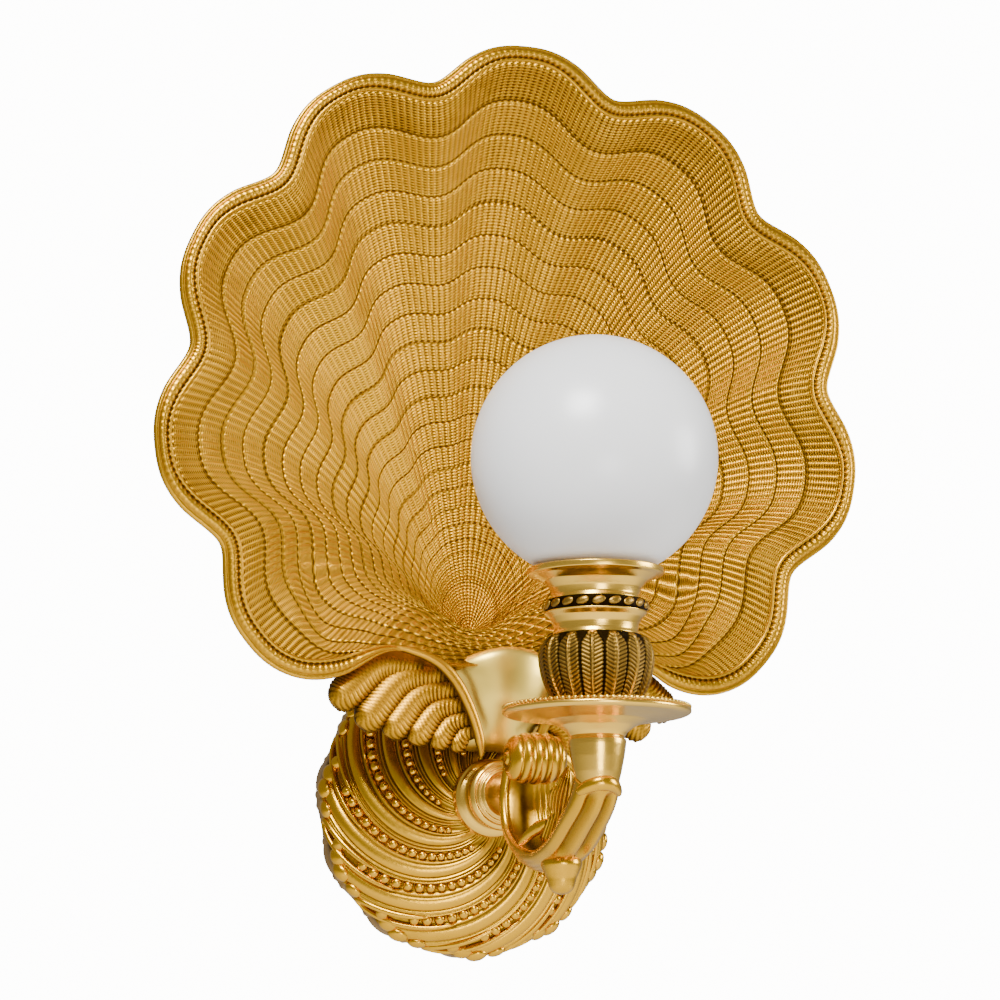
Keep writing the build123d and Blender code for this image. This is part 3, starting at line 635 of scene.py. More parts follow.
# ---------------------------------------------------------------------------------------
# shell
# ---------------------------------------------------------------------------------------
@dataclass
class Shell:
    """The scallop reflector: a fan of lobes over a hinge line, stepped by growth lines."""

    mouth_radius: float = 119.0
    mouth_out: float = 65.0
    mouth_tilt: float = 0.085       # how much further out the mouth leans towards its top
    centre_z: float = 131.0
    wall: float = 2.6
    lobes: int = 11
    wave: float = 6.2               # height of a lobe over the mouth's circle
    notch_power: float = 1.4        # how narrow the notches between lobes are
    last_drop: float = 5.6          # how much shorter the lobes next to the hinge are
    last_spread: float = 31.0       # degrees over which they are
    flute: float = 2.5              # how far the ridges between lobes stand out of the bowl
    hinge_z: float = 48.5
    lip_z: float = 44.0             # height of the mouth's edge beside the apron
    lip_rise: float = 5.8           # how far it bows up over each ear
    lip_x: float = 44.5             # where it is highest
    lip_half: float = 22.0
    umbo_z: float = 60.0
    umbo_out: float = 12.5
    umbo_radius: float = 10.0
    growth_first: float = 0.9505    # square root of the outermost growth line's share
    growth_step: float = 0.0435
    growth_lines: int = 21
    fan_columns: int = 364
    hinge_columns: int = 40
    fan_length: float = 95.0        # from the umbo to the mouth, which the growth steps share out
    flute_ends: tuple[float, float] = (148.0, 112.0)    # degrees from the top where flutes have faded
    heart_lines: int = 3            # growth lines inside the umbo's circle
    row_places: tuple = (0, 0.05, 0.13, 0.3, 0.55, 0.8, 0.92)
    edge_rows: int = 8              # rows between the mouth and the first growth line
    step_share: float = 0.10        # height of a growth step against its breadth
    rib_mm: float = 2.4
    hatch_mm: float = 1.15
    mill_mm: float = 2.2
    rim_length: float = 800.0
    back_rows: int = 18
    rim_rows: int = 34
    rim_profile: tuple = (          # distance outwards and forwards of the mouth's edge
        (0.0, -0.8), (0.1, 0.1), (0.7, 0.55), (1.25, 0.1), (1.5, -0.45), (1.8, 0.0), (2.6, 0.9), (3.7, 1.3),
        (4.8, 0.9), (5.3, 0.2), (5.5, -0.1), (5.8, 0.25), (6.3, 0.3), (6.8, -0.1), (7.0, -1.0), (6.7, -2.4),
        (5.6, -3.6), (4.2, -4.6),
    )

    def last_notch(self) -> float:
        """Angle in degrees from the top to the last notch, where the hinge line starts."""
        return 4.5 * 360 / self.lobes

    def outline(self, share: Array, grow: float = 0.0, sink: float = 0.0) -> Array:
        """Closed scalloped outlines of the bowl.

        The fan is a circle whose radius waves with the lobes; the hinge line joins its last
        notches with a raised cosine. Both move out and up with the share, and at the mouth
        the edge bows up over each ear.

        Args:
            share: 0 at the umbo and 1 at the mouth, one for each row.
            grow: Distance outwards in the outline's plane.
            sink: Distance towards the wall.

        Returns:
            Grid of points.
        """
        s = np.asarray(share, float)[:, None]
        core = np.clip(s, 0, None)
        radius = self.umbo_radius + (self.mouth_radius - self.umbo_radius) * s + grow
        out = self.umbo_out + (self.mouth_out - self.umbo_out) * core**1.2 - sink
        low = self.umbo_z + self.umbo_radius
        middle = low + (self.centre_z - low) * (1 - (1 - s) ** 2.15)
        wave = self.wave * core**1.45
        last = self.last_notch()
        angle = np.radians(np.linspace(-last, last, self.fan_columns))[None, :]
        lobe = 1 - 2 * ((1 - np.cos(angle * self.lobes)) / 2) ** self.notch_power
        drop = self.last_drop * core**1.45
        away = np.abs(np.degrees(angle)) - 4 * 360 / self.lobes
        reach = radius + wave * lobe - drop * bell(away, self.last_spread)
        fan_x, fan_z = reach * np.sin(angle), middle + reach * np.cos(angle)
        side = np.linspace(1, -1, self.hinge_columns + 2)[1:-1][None, :]
        notch = reach[:, -1:]
        notch_x = notch * sin(radians(last))
        notch_z = middle + notch * cos(radians(last))
        lowest = self.umbo_z + (self.hinge_z - self.umbo_z) * s - min(grow, self.wall)
        bottom = np.maximum(lowest, middle - radius)
        hinge_x = notch_x * side
        hinge_z = bottom + (notch_z - bottom) * ((1 - np.cos(pi * side)) / 2) ** 1.6
        x = np.concatenate([fan_x, hinge_x], axis=1)
        z = np.concatenate([fan_z, hinge_z], axis=1)
        lip = self.lip_z + self.lip_rise * bell(np.abs(x) - self.lip_x, self.lip_half) - min(grow, self.wall)
        z = z + core**4 * ease(78, 64, np.abs(x)) * (z < 80) * (lip - z)
        for _ in range(3):
            x = (np.roll(x, 1, 1) + 2 * x + np.roll(x, -1, 1)) / 4
            z = (np.roll(z, 1, 1) + 2 * z + np.roll(z, -1, 1)) / 4
        depth = out + self.mouth_tilt * core**4 * (z - self.centre_z)
        return np.stack([x, -depth, z], axis=-1)

    def growth_share(self, line: Array) -> Array:
        """Share of a growth line: the square of a root that falls evenly from line to line."""
        return np.clip(self.growth_first - self.growth_step * line, 0, None) ** 2

    def growth_rows(self) -> tuple[Array, Array, Array]:
        """Rows of the front, from the mouth to the umbo's pole.

        Returns:
            Their share, their place counted in growth lines, and the size of the umbo's circle
            as it shrinks to its pole.
        """
        places = np.array(self.row_places)
        line = (np.arange(self.growth_lines)[:, None] + places).ravel()
        heart = (np.arange(self.heart_lines)[:, None] + places).ravel() / self.heart_lines
        edge = np.linspace(1, self.growth_share(np.array(0.0)), self.edge_rows)[:-1]
        share = np.r_[edge, self.growth_share(line), 0 * heart]
        phase = np.r_[np.linspace(-1, 0, self.edge_rows)[:-1], line, self.growth_lines + self.heart_lines * heart]
        return share, phase, np.r_[np.ones(len(share) - len(heart)), 1 - heart]

    def front_relief(self, front: Array, share: Array, phase: Array) -> Array:
        """Offsets that raise the growth steps and the flutes out of the smooth bowl.

        A growth step stands up at its line and sinks towards the next one, in proportion to its
        breadth. A flute is a power of a raised cosine of the angle, highest at the notches, and
        fades towards the rim, the umbo and the hinge.

        Args:
            front: The smooth front.
            share: Share of each row.
            phase: Place of each row in growth lines.

        Returns:
            One offset a point.
        """
        breadth = np.maximum(2 * self.growth_step * np.sqrt(np.maximum(share, 1e-4)) * self.fan_length, 1.5)
        frac = phase - np.floor(phase)
        shingle = ease(0.0, 0.05, frac) * (1 - 0.85 * ease(0.02, 0.95, frac)) - 0.5 * bell(frac - 0.97, 0.09)
        shingle = np.where(phase < 0, 0.0, shingle) * np.where(phase > self.growth_lines, 0.2, 1.0)
        step = self.step_share * breadth * shingle
        last = self.last_notch()
        column = np.r_[np.linspace(-last, last, self.fan_columns), np.full(self.hinge_columns, last)]
        ridge = ((1 - np.cos(np.radians(column) * self.lobes)) / 2) ** 1.2 - 0.35
        ridge *= ease(*self.flute_ends, np.abs(column))
        fade = share**0.6 * ease(1.0, 0.93, share) * ease(0.0, 0.12, share)
        height = step[:, None] + self.flute * fade[:, None] * ridge[None, :]
        normal = surface_normals(front)
        toward = -np.sign(normal[:, self.fan_columns // 2, 1].mean())
        return normal * toward * height[..., None]

    def front_shade(self, front: Array, phase: Array) -> Array:
        """Painted shade: dark lines under the growth steps, a darker band by the mouth, and a dark floor before the
        hinge.

        Args:
            front: The front.
            phase: Place of each row in growth lines.

        Returns:
            Darkness of each point.
        """
        frac = phase - np.floor(phase)
        # Painted shade under each growth step, weaker in the umbo and by the mouth.
        line = 0.95 * (bell(frac - 1.0, 0.10) + bell(frac, 0.045)) * np.where(phase > self.growth_lines, 0.3, 1.0)
        line = np.where(phase < 0, 0.25, line)
        # Painted shade on the floor before the hinge, above the apron.
        floor = 0.75 * ease(57, 48, front[..., 2]) * bell(front[..., 0], 42)
        return np.clip(line[:, None] + floor, 0, 1)

    def weave(self, phase: Array, size: Array, run: Array) -> Array:
        """Pattern coordinates of the front: a whole number of ribs in each lobe, and the run inwards.

        Args:
            phase: Place of each row in growth lines.
            size: Size of the umbo's circle at each row.
            run: Length along the bowl's middle at each row.

        Returns:
            Coordinates of each span of rows, in the front's order in the skin.
        """
        u = np.linspace(0, 1, self.fan_columns + self.hinge_columns + 1)[None, None, :]
        middle = self.growth_share(np.floor((phase[1:] + phase[:-1]) / 2) + 0.5)
        number = np.round(self.ribs_in(middle) * size[1:] ** 0.7) * self.lobes
        ribs = number[:, None, None] * np.ones((1, 2, 1)) * u
        hatch = np.stack([run[:-1], run[1:]], axis=1)[:, :, None] / self.hatch_mm + 0 * u
        return np.stack([ribs, hatch], axis=-1)[::-1, ::-1]

    def build(self) -> None:
        """Make the bowl as one closed skin: front relief, rolled rim and plain back."""
        share, phase, size = self.growth_rows()
        pole = np.array([0.0, -self.umbo_out, self.umbo_z + 0.6])
        front = pole + (self.outline(share) - pole) * size[:, None, None]
        weave = self.weave(phase, size, run_along(front[:, self.fan_columns // 2]))
        front = front + self.front_relief(front, share, phase)
        rim, rim_shade, rim_mask = self.rim()
        back = self.outline(np.linspace(0.955, 0.0, self.back_rows), self.wall, self.wall)
        u = np.linspace(0, 1, front.shape[1] + 1)[None, None, :]
        mill = np.stack([0 * u + 0.5, u * round(self.rim_length / self.mill_mm)], axis=-1)
        plain = np.zeros((len(back), 2, front.shape[1] + 1, 2))
        sheet = Sheet(
            np.concatenate([front[::-1], rim, back]),
            np.concatenate([weave, mill * np.ones((len(rim), 2, 1, 1)), plain]),
            np.concatenate([self.front_shade(front, phase)[::-1], rim_shade, np.full(back.shape[:2], 0.3)]),
            np.concatenate([np.ones(front.shape[:2]), rim_mask, np.zeros(back.shape[:2])]),
        )
        make_piece("shell_bowl", [sheet], ["shell"], SHELL_GILT.material())

    def ribs_in(self, share: Array) -> Array:
        """Ribs in one lobe: fewer towards the umbo, so that they stay about as wide."""
        girth = (self.umbo_radius + (self.mouth_radius - self.umbo_radius) * share) * 2 * pi / self.lobes
        return np.clip(girth / self.rib_mm, 4, None)

    def rim(self) -> tuple[Array, Array, Array]:
        """The rolled rim: a bead, a milled round band and a plain edge carried round the mouth.

        It narrows beside the apron, and a little at the tip of each lobe.

        Returns:
            Its grid, its painted shade in the grooves and its pattern mask.
        """
        reach, rise = faired(self.rim_profile, self.rim_rows).T
        base = self.outline(np.array([1.0]))[0]
        edge = np.roll(base, -1, axis=0) - np.roll(base, 1, axis=0)
        side = unit(np.stack([-edge[:, 2], 0 * edge[:, 0], edge[:, 0]], axis=1))
        centre = base.mean(axis=0)
        if ((base - centre) * side).sum() < 0:
            side = -side
        forward = np.array([0.0, -1.0, 0.0])
        away = np.abs(base[:, 0])
        narrow = 1.0 - 0.8 * ease(70, 36, away) * ease(8, 22, away) - 0.97 * ease(22, 8, away)
        narrow = np.where(base[:, 2] < 70, narrow, 1.0)
        tips = np.clip(np.cos(np.arctan2(base[:, 0], base[:, 2] - self.centre_z) * self.lobes), 0, 1)
        width = narrow * (1.0 - 0.16 * tips * (base[:, 2] > 70))
        height = 0.3 + 0.7 * narrow
        grid = base[None] + (reach[:, None] * width)[..., None] * side[None]
        grid = grid + (rise[:, None] * height)[..., None] * forward
        front = rise > -0.7
        # Painted shade in the groove inside the milled band and in the groove near the edge.
        dark = (bell(reach - 1.5, 0.45) + 0.6 * bell(reach - 5.5, 0.3)) * front
        milled = ease(1.0, 1.3, reach) * (1 - 0.7 * ease(2.4, 3.0, reach)) * (1 - ease(5.0, 5.4, reach)) * front
        shown = ease(0.5, 0.95, narrow)
        return grid, dark[:, None] * shown, milled[:, None] * shown


# ---------------------------------------------------------------------------------------
# wall plate
# ---------------------------------------------------------------------------------------
@dataclass
class WallPlate:
    """Domed plate of eleven swirls: a smooth lobe, fillets and a row of beads in each."""

    radius: float = 51.8
    flat: float = 12.5              # radius of the flat middle under the collar
    edge: float = 7.0               # height of the edge out of the wall
    top: float = 33.5
    rise: float = 1.55              # of a crest at the edge
    swirl: float = 109.0            # degrees that a swirl turns from the edge to the middle
    start: float = 9.5
    count: int = 11
    wall: float = 3.0
    rows: int = 96
    lobe_columns: int = 52
    first_place: float = 0.365      # where the pattern of a swirl starts, in swirls
    head_rows: int = 48
    head_width: float = 1.05
    bead_line: float = 0.49         # where the beads run, in swirls
    head_bead: tuple[float, float] = (0.18, 2.7)    # place and radius of the large bead
    bumps: tuple = (                # place in swirls, share, and three half sizes
        (0.735, 0.13, 3.6, 2.9, 1.9),
        (0.945, 0.11, 4.0, 3.1, 2.1),
        (1.155, 0.13, 3.5, 2.8, 1.8),
    )

    def skin(self, phase: Array, share: Array, lift: Array | float = 0.0) -> Array:
        """Points of the dome, lifted along its normal.

        Args:
            phase: Place round the plate, one for each swirl, 0 on a crest.
            share: 0 at the edge and 1 at the flat centre.
            lift: Distance out of the surface.

        Returns:
            Points, shaped like the arguments.
        """
        phase, share = np.broadcast_arrays(np.asarray(phase, float), np.asarray(share, float))
        step = 1e-3
        base = self.dome(phase, share)
        along = self.dome(phase + step, share) - self.dome(phase - step, share)
        inward = self.dome(phase, share + step) - self.dome(phase, share - step)
        normal = unit(np.cross(along, inward))
        return base + normal * np.broadcast_to(lift, share.shape)[..., None]

    def dome(self, phase: Array, share: Array) -> Array:
        """The dome: a quarter ellipse with a cone mixed in.

        Its lobes leave the edge straight and turn more and more towards the middle: the swirl
        grows with the share to the power 1.5.

        Args:
            phase: Place round the plate, one for each swirl, 0 on a crest.
            share: 0 at the edge and 1 at the flat centre.

        Returns:
            Points, shaped like the arguments.
        """
        turn = pi / 2 * share
        span, height = self.radius - self.flat, self.top - self.edge
        reach = self.flat + span * np.cos(turn)
        out = self.edge + height * (0.62 * np.abs(np.sin(turn)) * np.sign(turn) + 0.38 * (1 - np.cos(turn)))
        steep = height * (0.62 * np.cos(turn) + 0.38 * np.sin(turn))
        slant = np.minimum(np.sqrt(1 + (span * np.sin(turn) / np.maximum(steep, 1e-3)) ** 2), 2.2)
        crest = 1 - np.abs(np.sin(phase * pi)) ** 2.6
        reach = reach + self.rise * np.maximum(1 - share**2, 0) * slant * crest
        turned_by = self.swirl * np.sign(share) * np.abs(share) ** 1.5
        angle = np.radians(self.start + phase * 360 / self.count + turned_by)
        return np.stack([reach * np.cos(angle), -out, reach * np.sin(angle)], axis=-1)

    def swirl_relief(self, place: Array, share: Array) -> tuple[Array, Array]:
        """Relief and painted shade of a swirl.

        Across it come a channel for the beads, a fillet, a round lobe as a half ellipse, and two
        more fillets. Each fillet is a raised cosine, and painted shade runs in dark lines between them.

        Args:
            place: Place across the swirl, 0 to 1.
            share: 0 at the edge and 1 at the flat centre.

        Returns:
            Height out of the dome, and darkness.
        """
        around = np.minimum(place, 1 - place)
        lobe = np.sqrt(np.clip(1 - ((place - 0.52) / 0.16) ** 2, 0, 1))
        fillets = bell(place - 0.305, 0.05) + bell(place - 0.745, 0.055) + bell(place - 0.875, 0.06)
        channel = bell(place - 0.125, 0.15)
        size = 1 - 0.45 * share
        relief = (1.25 * lobe + 1.05 * fillets) * ease(-0.05, 0.06, share) - channel * ease(0.1, 0.3, share)
        # Painted shade: dark lines in the creases, in the bead channel, towards the collar and along the edge.
        dark = bell(place - 0.357, 0.035) + bell(place - 0.685, 0.04) + bell(place - 0.81, 0.035)
        dark = dark + bell(place - 0.94, 0.045) + bell(place - 0.25, 0.04) + 0.55 * channel
        dark = dark + 0.25 * ease(0.5, 0.9, share) + 0.7 * ease(0.12, 0.02, share) * ease(0.2, 0.3, around)
        return relief * size * ease(1.02, 0.9, share), np.clip(dark, 0, 1)

    def build(self) -> None:
        """Make the plate, its beads and the bumps of its edge."""
        phase = np.arange(self.count * self.lobe_columns)[None, :] / self.lobe_columns
        share = np.linspace(0.0, 1.0, self.rows)[:, None]
        relief, dark = self.swirl_relief((phase - self.first_place) % 1.0, share)
        front = self.skin(phase, share, relief)
        centre = np.stack([0.6 * front[-1], 0.05 * front[-1]])
        centre[..., 1] = -self.top
        foot = np.stack([front[0], front[0], front[0] * [0.96, 1, 0.96]])
        foot[:, :, 1] = np.array([-3.5, 0.0, 0.0])[:, None]
        inner = self.skin(phase, np.linspace(0, 1, 16)[:, None]) * [0.93, 1, 0.93] + [0, self.wall, 0]
        inner[0, :, 1] = -2.0
        points = np.concatenate([centre[::-1], front[::-1], foot, inner], axis=0)
        patina_and_shade = np.full(points.shape[:2], 0.35)
        patina_and_shade[2:2 + len(front)] = dark[::-1]
        sheets = [Sheet(points, patina_and_shade=patina_and_shade), *self.rows_of_beads(), *self.edge_bumps(), *self.heads()]
        make_piece("wall_plate", sheets, ["backplate"], CAST_GILT.material())

    def frames(self, phase: Array, share: Array) -> tuple[Array, Array]:
        """Points of the skin with their three axes.

        Args:
            phase: Place of each point round the plate.
            share: Its share.

        Returns:
            The points, and their unit vectors inward, around and out of the surface.
        """
        base = self.skin(phase, share)
        inward = unit(self.skin(phase, share + 1e-3) - base)
        around = self.skin(phase + 1e-3, share) - base
        out = unit(np.cross(around, inward))
        return base, np.stack([inward, np.cross(out, inward), out], axis=-2)

    def rows_of_beads(self) -> list[Sheet]:
        """A row of beads in each swirl, from the head at the edge to the collar, ever smaller.

        Returns:
            One sheet a bead.
        """
        line = np.linspace(0.325, 0.95, 600)
        run = run_along(self.skin(np.full(600, self.bead_line), line))
        size = np.interp(line, [0.32, 0.45, 0.7, 0.95], [2.1, 2.0, 1.6, 1.05])
        number = np.r_[0, np.cumsum(np.diff(run) / (2.16 * (size[1:] + size[:-1]) / 2))]
        spots = np.r_[self.head_bead[0], np.interp(np.arange(int(number[-1])), number, line)]
        radius = np.r_[self.head_bead[1], np.interp(spots[1:], line, size)]
        phase = (np.arange(self.count)[:, None] + self.bead_line + 0 * spots[None, :]).ravel()
        share = np.tile(spots, self.count)
        radius = np.tile(radius, self.count)
        centres, axes = self.frames(phase, share)
        centres = centres + axes[:, 2] * (0.12 * radius)[:, None]
        return beads(centres, axes, np.stack([radius, radius, 0.95 * radius], axis=1), 7, 12)

    def edge_bumps(self) -> list[Sheet]:
        """Three oval bumps on the edge between two heads.

        Returns:
            One sheet a bump.
        """
        place = np.tile(self.bumps, (self.count, 1))
        number = np.repeat(np.arange(self.count), len(self.bumps))
        centres, axes = self.frames(number + place[:, 0], place[:, 1])
        return beads(centres + 0.5 * axes[:, 2], axes, place[:, 2:], 9, 14)

    def heads(self) -> list[Sheet]:
        """Fillet that turns round the large bead at each head.

        Returns:
            One sheet a head.
        """
        across = np.array([-0.255, -0.22, -0.17, -0.09, 0.0, 0.09, 0.15, 0.17, 0.172])
        inward = np.array([0.44, 0.28, 0.13, 0.03, 0.01, 0.05, 0.15, 0.28, 0.44])
        way = faired(np.stack([across, inward], axis=1), self.head_rows)
        width = self.head_width * np.sqrt(np.clip(1 - np.linspace(-1, 1, self.head_rows) ** 8, 0.05, 1))
        sheets = []
        for number in range(self.count):
            base, axes = self.frames(number + 0.5 + way[:, 0], np.maximum(way[:, 1], 0.0))
            out = axes[:, 2]
            side = np.cross(unit(np.gradient(base, axis=0)), out)
            sheets.append(Sheet(ringed(base + 0.9 * out, width, side, out, 1.2, 12)))
        return sheets


# ---------------------------------------------------------------------------------------
# hinge apron and ears
# ---------------------------------------------------------------------------------------
@dataclass
class HingeAndEars:
    """Smooth apron under the shell and the two fans of roped strands beside it."""

    out: float = 49.5               # of the strands' middle
    pitch: float = 1.5              # from ridge to ridge of a strand
    strand_rows: int = 190
    roll_rows: int = 110
    columns: int = 28
    apron_half: float = 22.5        # half its width at the top
    apron_deep: float = 24.0
    apron_back: float = 37.0
    apron_foot: float = 16.0
    apron_tall: float = 34.5
    strands: tuple = (
        # root x, z; tip x, z; tip radius
        (-31.0, 44.0, -58.0, 33.2, 6.3),
        (-23.0, 41.5, -49.0, 26.2, 6.0),
        (-18.5, 36.5, -39.8, 23.0, 5.3),
        (-16.0, 31.0, -31.3, 20.6, 4.7),
        (-14.0, 26.0, -23.6, 18.8, 4.1),
        (-12.0, 21.5, -17.0, 17.4, 3.3),
    )

    def build(self) -> None:
        """Make the apron and both ears."""
        self.apron()
        for side, name in ((1, "left"), (-1, "right")):
            sheets = [*(self.strand(side, *values) for values in self.strands), self.roll(side)]
            make_piece(f"{name}_ear", sheets, [f"ear_{name}"], MATT_SHADED_GILT.material())

    def apron(self) -> None:
        """Rings of ellipses, widest at the top, with a soft upper edge and a flat back."""
        plan = np.array([(0.0, 0.36, 0.10), (0.02, 0.5, 0.32), (0.08, 0.58, 0.48), (0.22, 0.67, 0.70),
                         (0.45, 0.80, 0.92), (0.7, 0.93, 1.0), (0.88, 1.03, 1.0), (0.96, 1.04, 0.97),
                         (1.0, 0.98, 0.90)])
        plan = faired(plan, 60)
        angle = turns(96)[None, :]
        share = plan[:, 0, None]
        wide = self.apron_half * plan[:, 1, None] * np.sin(angle)
        deep = self.apron_deep * plan[:, 2, None] * np.clip(np.cos(angle), 0, 1) ** 0.8
        fallen = 7.5 * ease(0.5, 1.0, share) * (wide / self.apron_half) ** 2
        tall = self.apron_foot + self.apron_tall * share - fallen
        # Painted shade at the apron's foot, where it goes behind the parts below.
        dark = 0.8 * ease(0.12, 0.0, share) + 0 * angle
        sheet = Sheet(np.stack([wide, -self.apron_back - deep, tall], axis=-1), patina_and_shade=dark)
        make_piece("hinge_apron", [sheet], ["hinge_knob"], PAINTED_LIGHT_SATIN.material())

    def strand(self, side: int, root_x: float, root_z: float, tip_x: float, tip_z: float, radius: float) -> Sheet:
        """One strand: a tube that swells to a round tip, crossed by curved ridges.

        The ridges are a cosine of the run less the tube's own bulge, so they bow to the tip.

        Args:
            side: 1 for the left ear and -1 for the right.
            root_x: Where the strand starts.
            root_z: Its height there.
            tip_x: Centre of the round tip.
            tip_z: Its height.
            radius: Radius at the tip.

        Returns:
            The strand.
        """
        root, tip = np.array([root_x, root_z]), np.array([tip_x, tip_z])
        way = tip - root
        ahead = unit(way)
        normal = np.array([ahead[1], -ahead[0]])
        middle = (root + tip) / 2 + normal * 0.15 * np.linalg.norm(way)
        end = tip + ahead * radius - 0.8 * normal
        line = faired(np.stack([root, middle, tip, end]), self.strand_rows)
        curve = np.stack([side * line[:, 0], np.full(self.strand_rows, -self.out), line[:, 1]], axis=1)
        run = run_along(line)[:, None]
        left = run[-1] - run
        grown = radius * (0.8 + 0.2 * ease(0, 0.8 * run[-1], run))
        cap = np.sqrt(np.clip(1 - (1 - np.clip(left / radius, 0, 1)) ** 2, 0.002, 1))
        angle = turns(self.columns)[None, :]
        bow = grown * (0.8 * np.clip(-np.sin(angle), 0, 1) ** 0.8 + 0.35 * np.cos(angle))
        ridge = np.cos(2 * pi * (run - bow) / self.pitch)
        size = grown * cap + 0.24 * ridge * ease(0, 4, run) * ease(0, 1.5, left)
        section = np.stack([size * np.cos(angle), 0.8 * size * np.sin(angle)], axis=-1)
        # Painted shade between the ridges, on the sides where strands meet, and at the root.
        dark = 0.6 * ease(0.2, -0.9, ridge) + 0.9 * np.abs(np.cos(angle)) ** 5 + 0.8 * ease(5, 0, run)
        return Sheet(swept(curve, (0, 1, 0), section), patina_and_shade=np.clip(dark, 0, 1))

    def roll(self, side: int) -> Sheet:
        """Smooth band between the strands and the apron, which carries the shell's rim on.

        Args:
            side: 1 for the left ear and -1 for the right.

        Returns:
            The band.
        """
        line = faired(np.array([(-46, 47.8, 56.5), (-41, 48.4, 57.2), (-36, 47.4, 57.8), (-30.5, 45.6, 58.2),
                                (-25, 42.4, 58.2), (-19.8, 36.8, 57.4), (-15.4, 29.6, 56.2), (-12.2, 22.4, 55.0),
                                (-10.4, 16.0, 54.0), (-9.8, 12.5, 52.0)]), self.roll_rows)
        curve = np.stack([side * line[:, 0], -line[:, 2], line[:, 1]], axis=1)
        place = np.linspace(0, 1, self.roll_rows)[:, None]
        wide = np.interp(place, [0, 0.2, 0.4, 0.9, 1], [0.7, 1.5, 2.0, 1.8, 0.5])
        angle = turns(self.columns)[None, :]
        section = np.stack([wide * np.cos(angle), 1.5 * np.sin(angle) + 0 * place], axis=-1)
        # Painted shade along the band's two edges.
        dark = 0.9 * bell(np.abs(np.cos(angle)) - 1, 0.35) + 0 * place
        return Sheet(swept(curve, (0, 1, 0), section), patina_and_shade=dark)


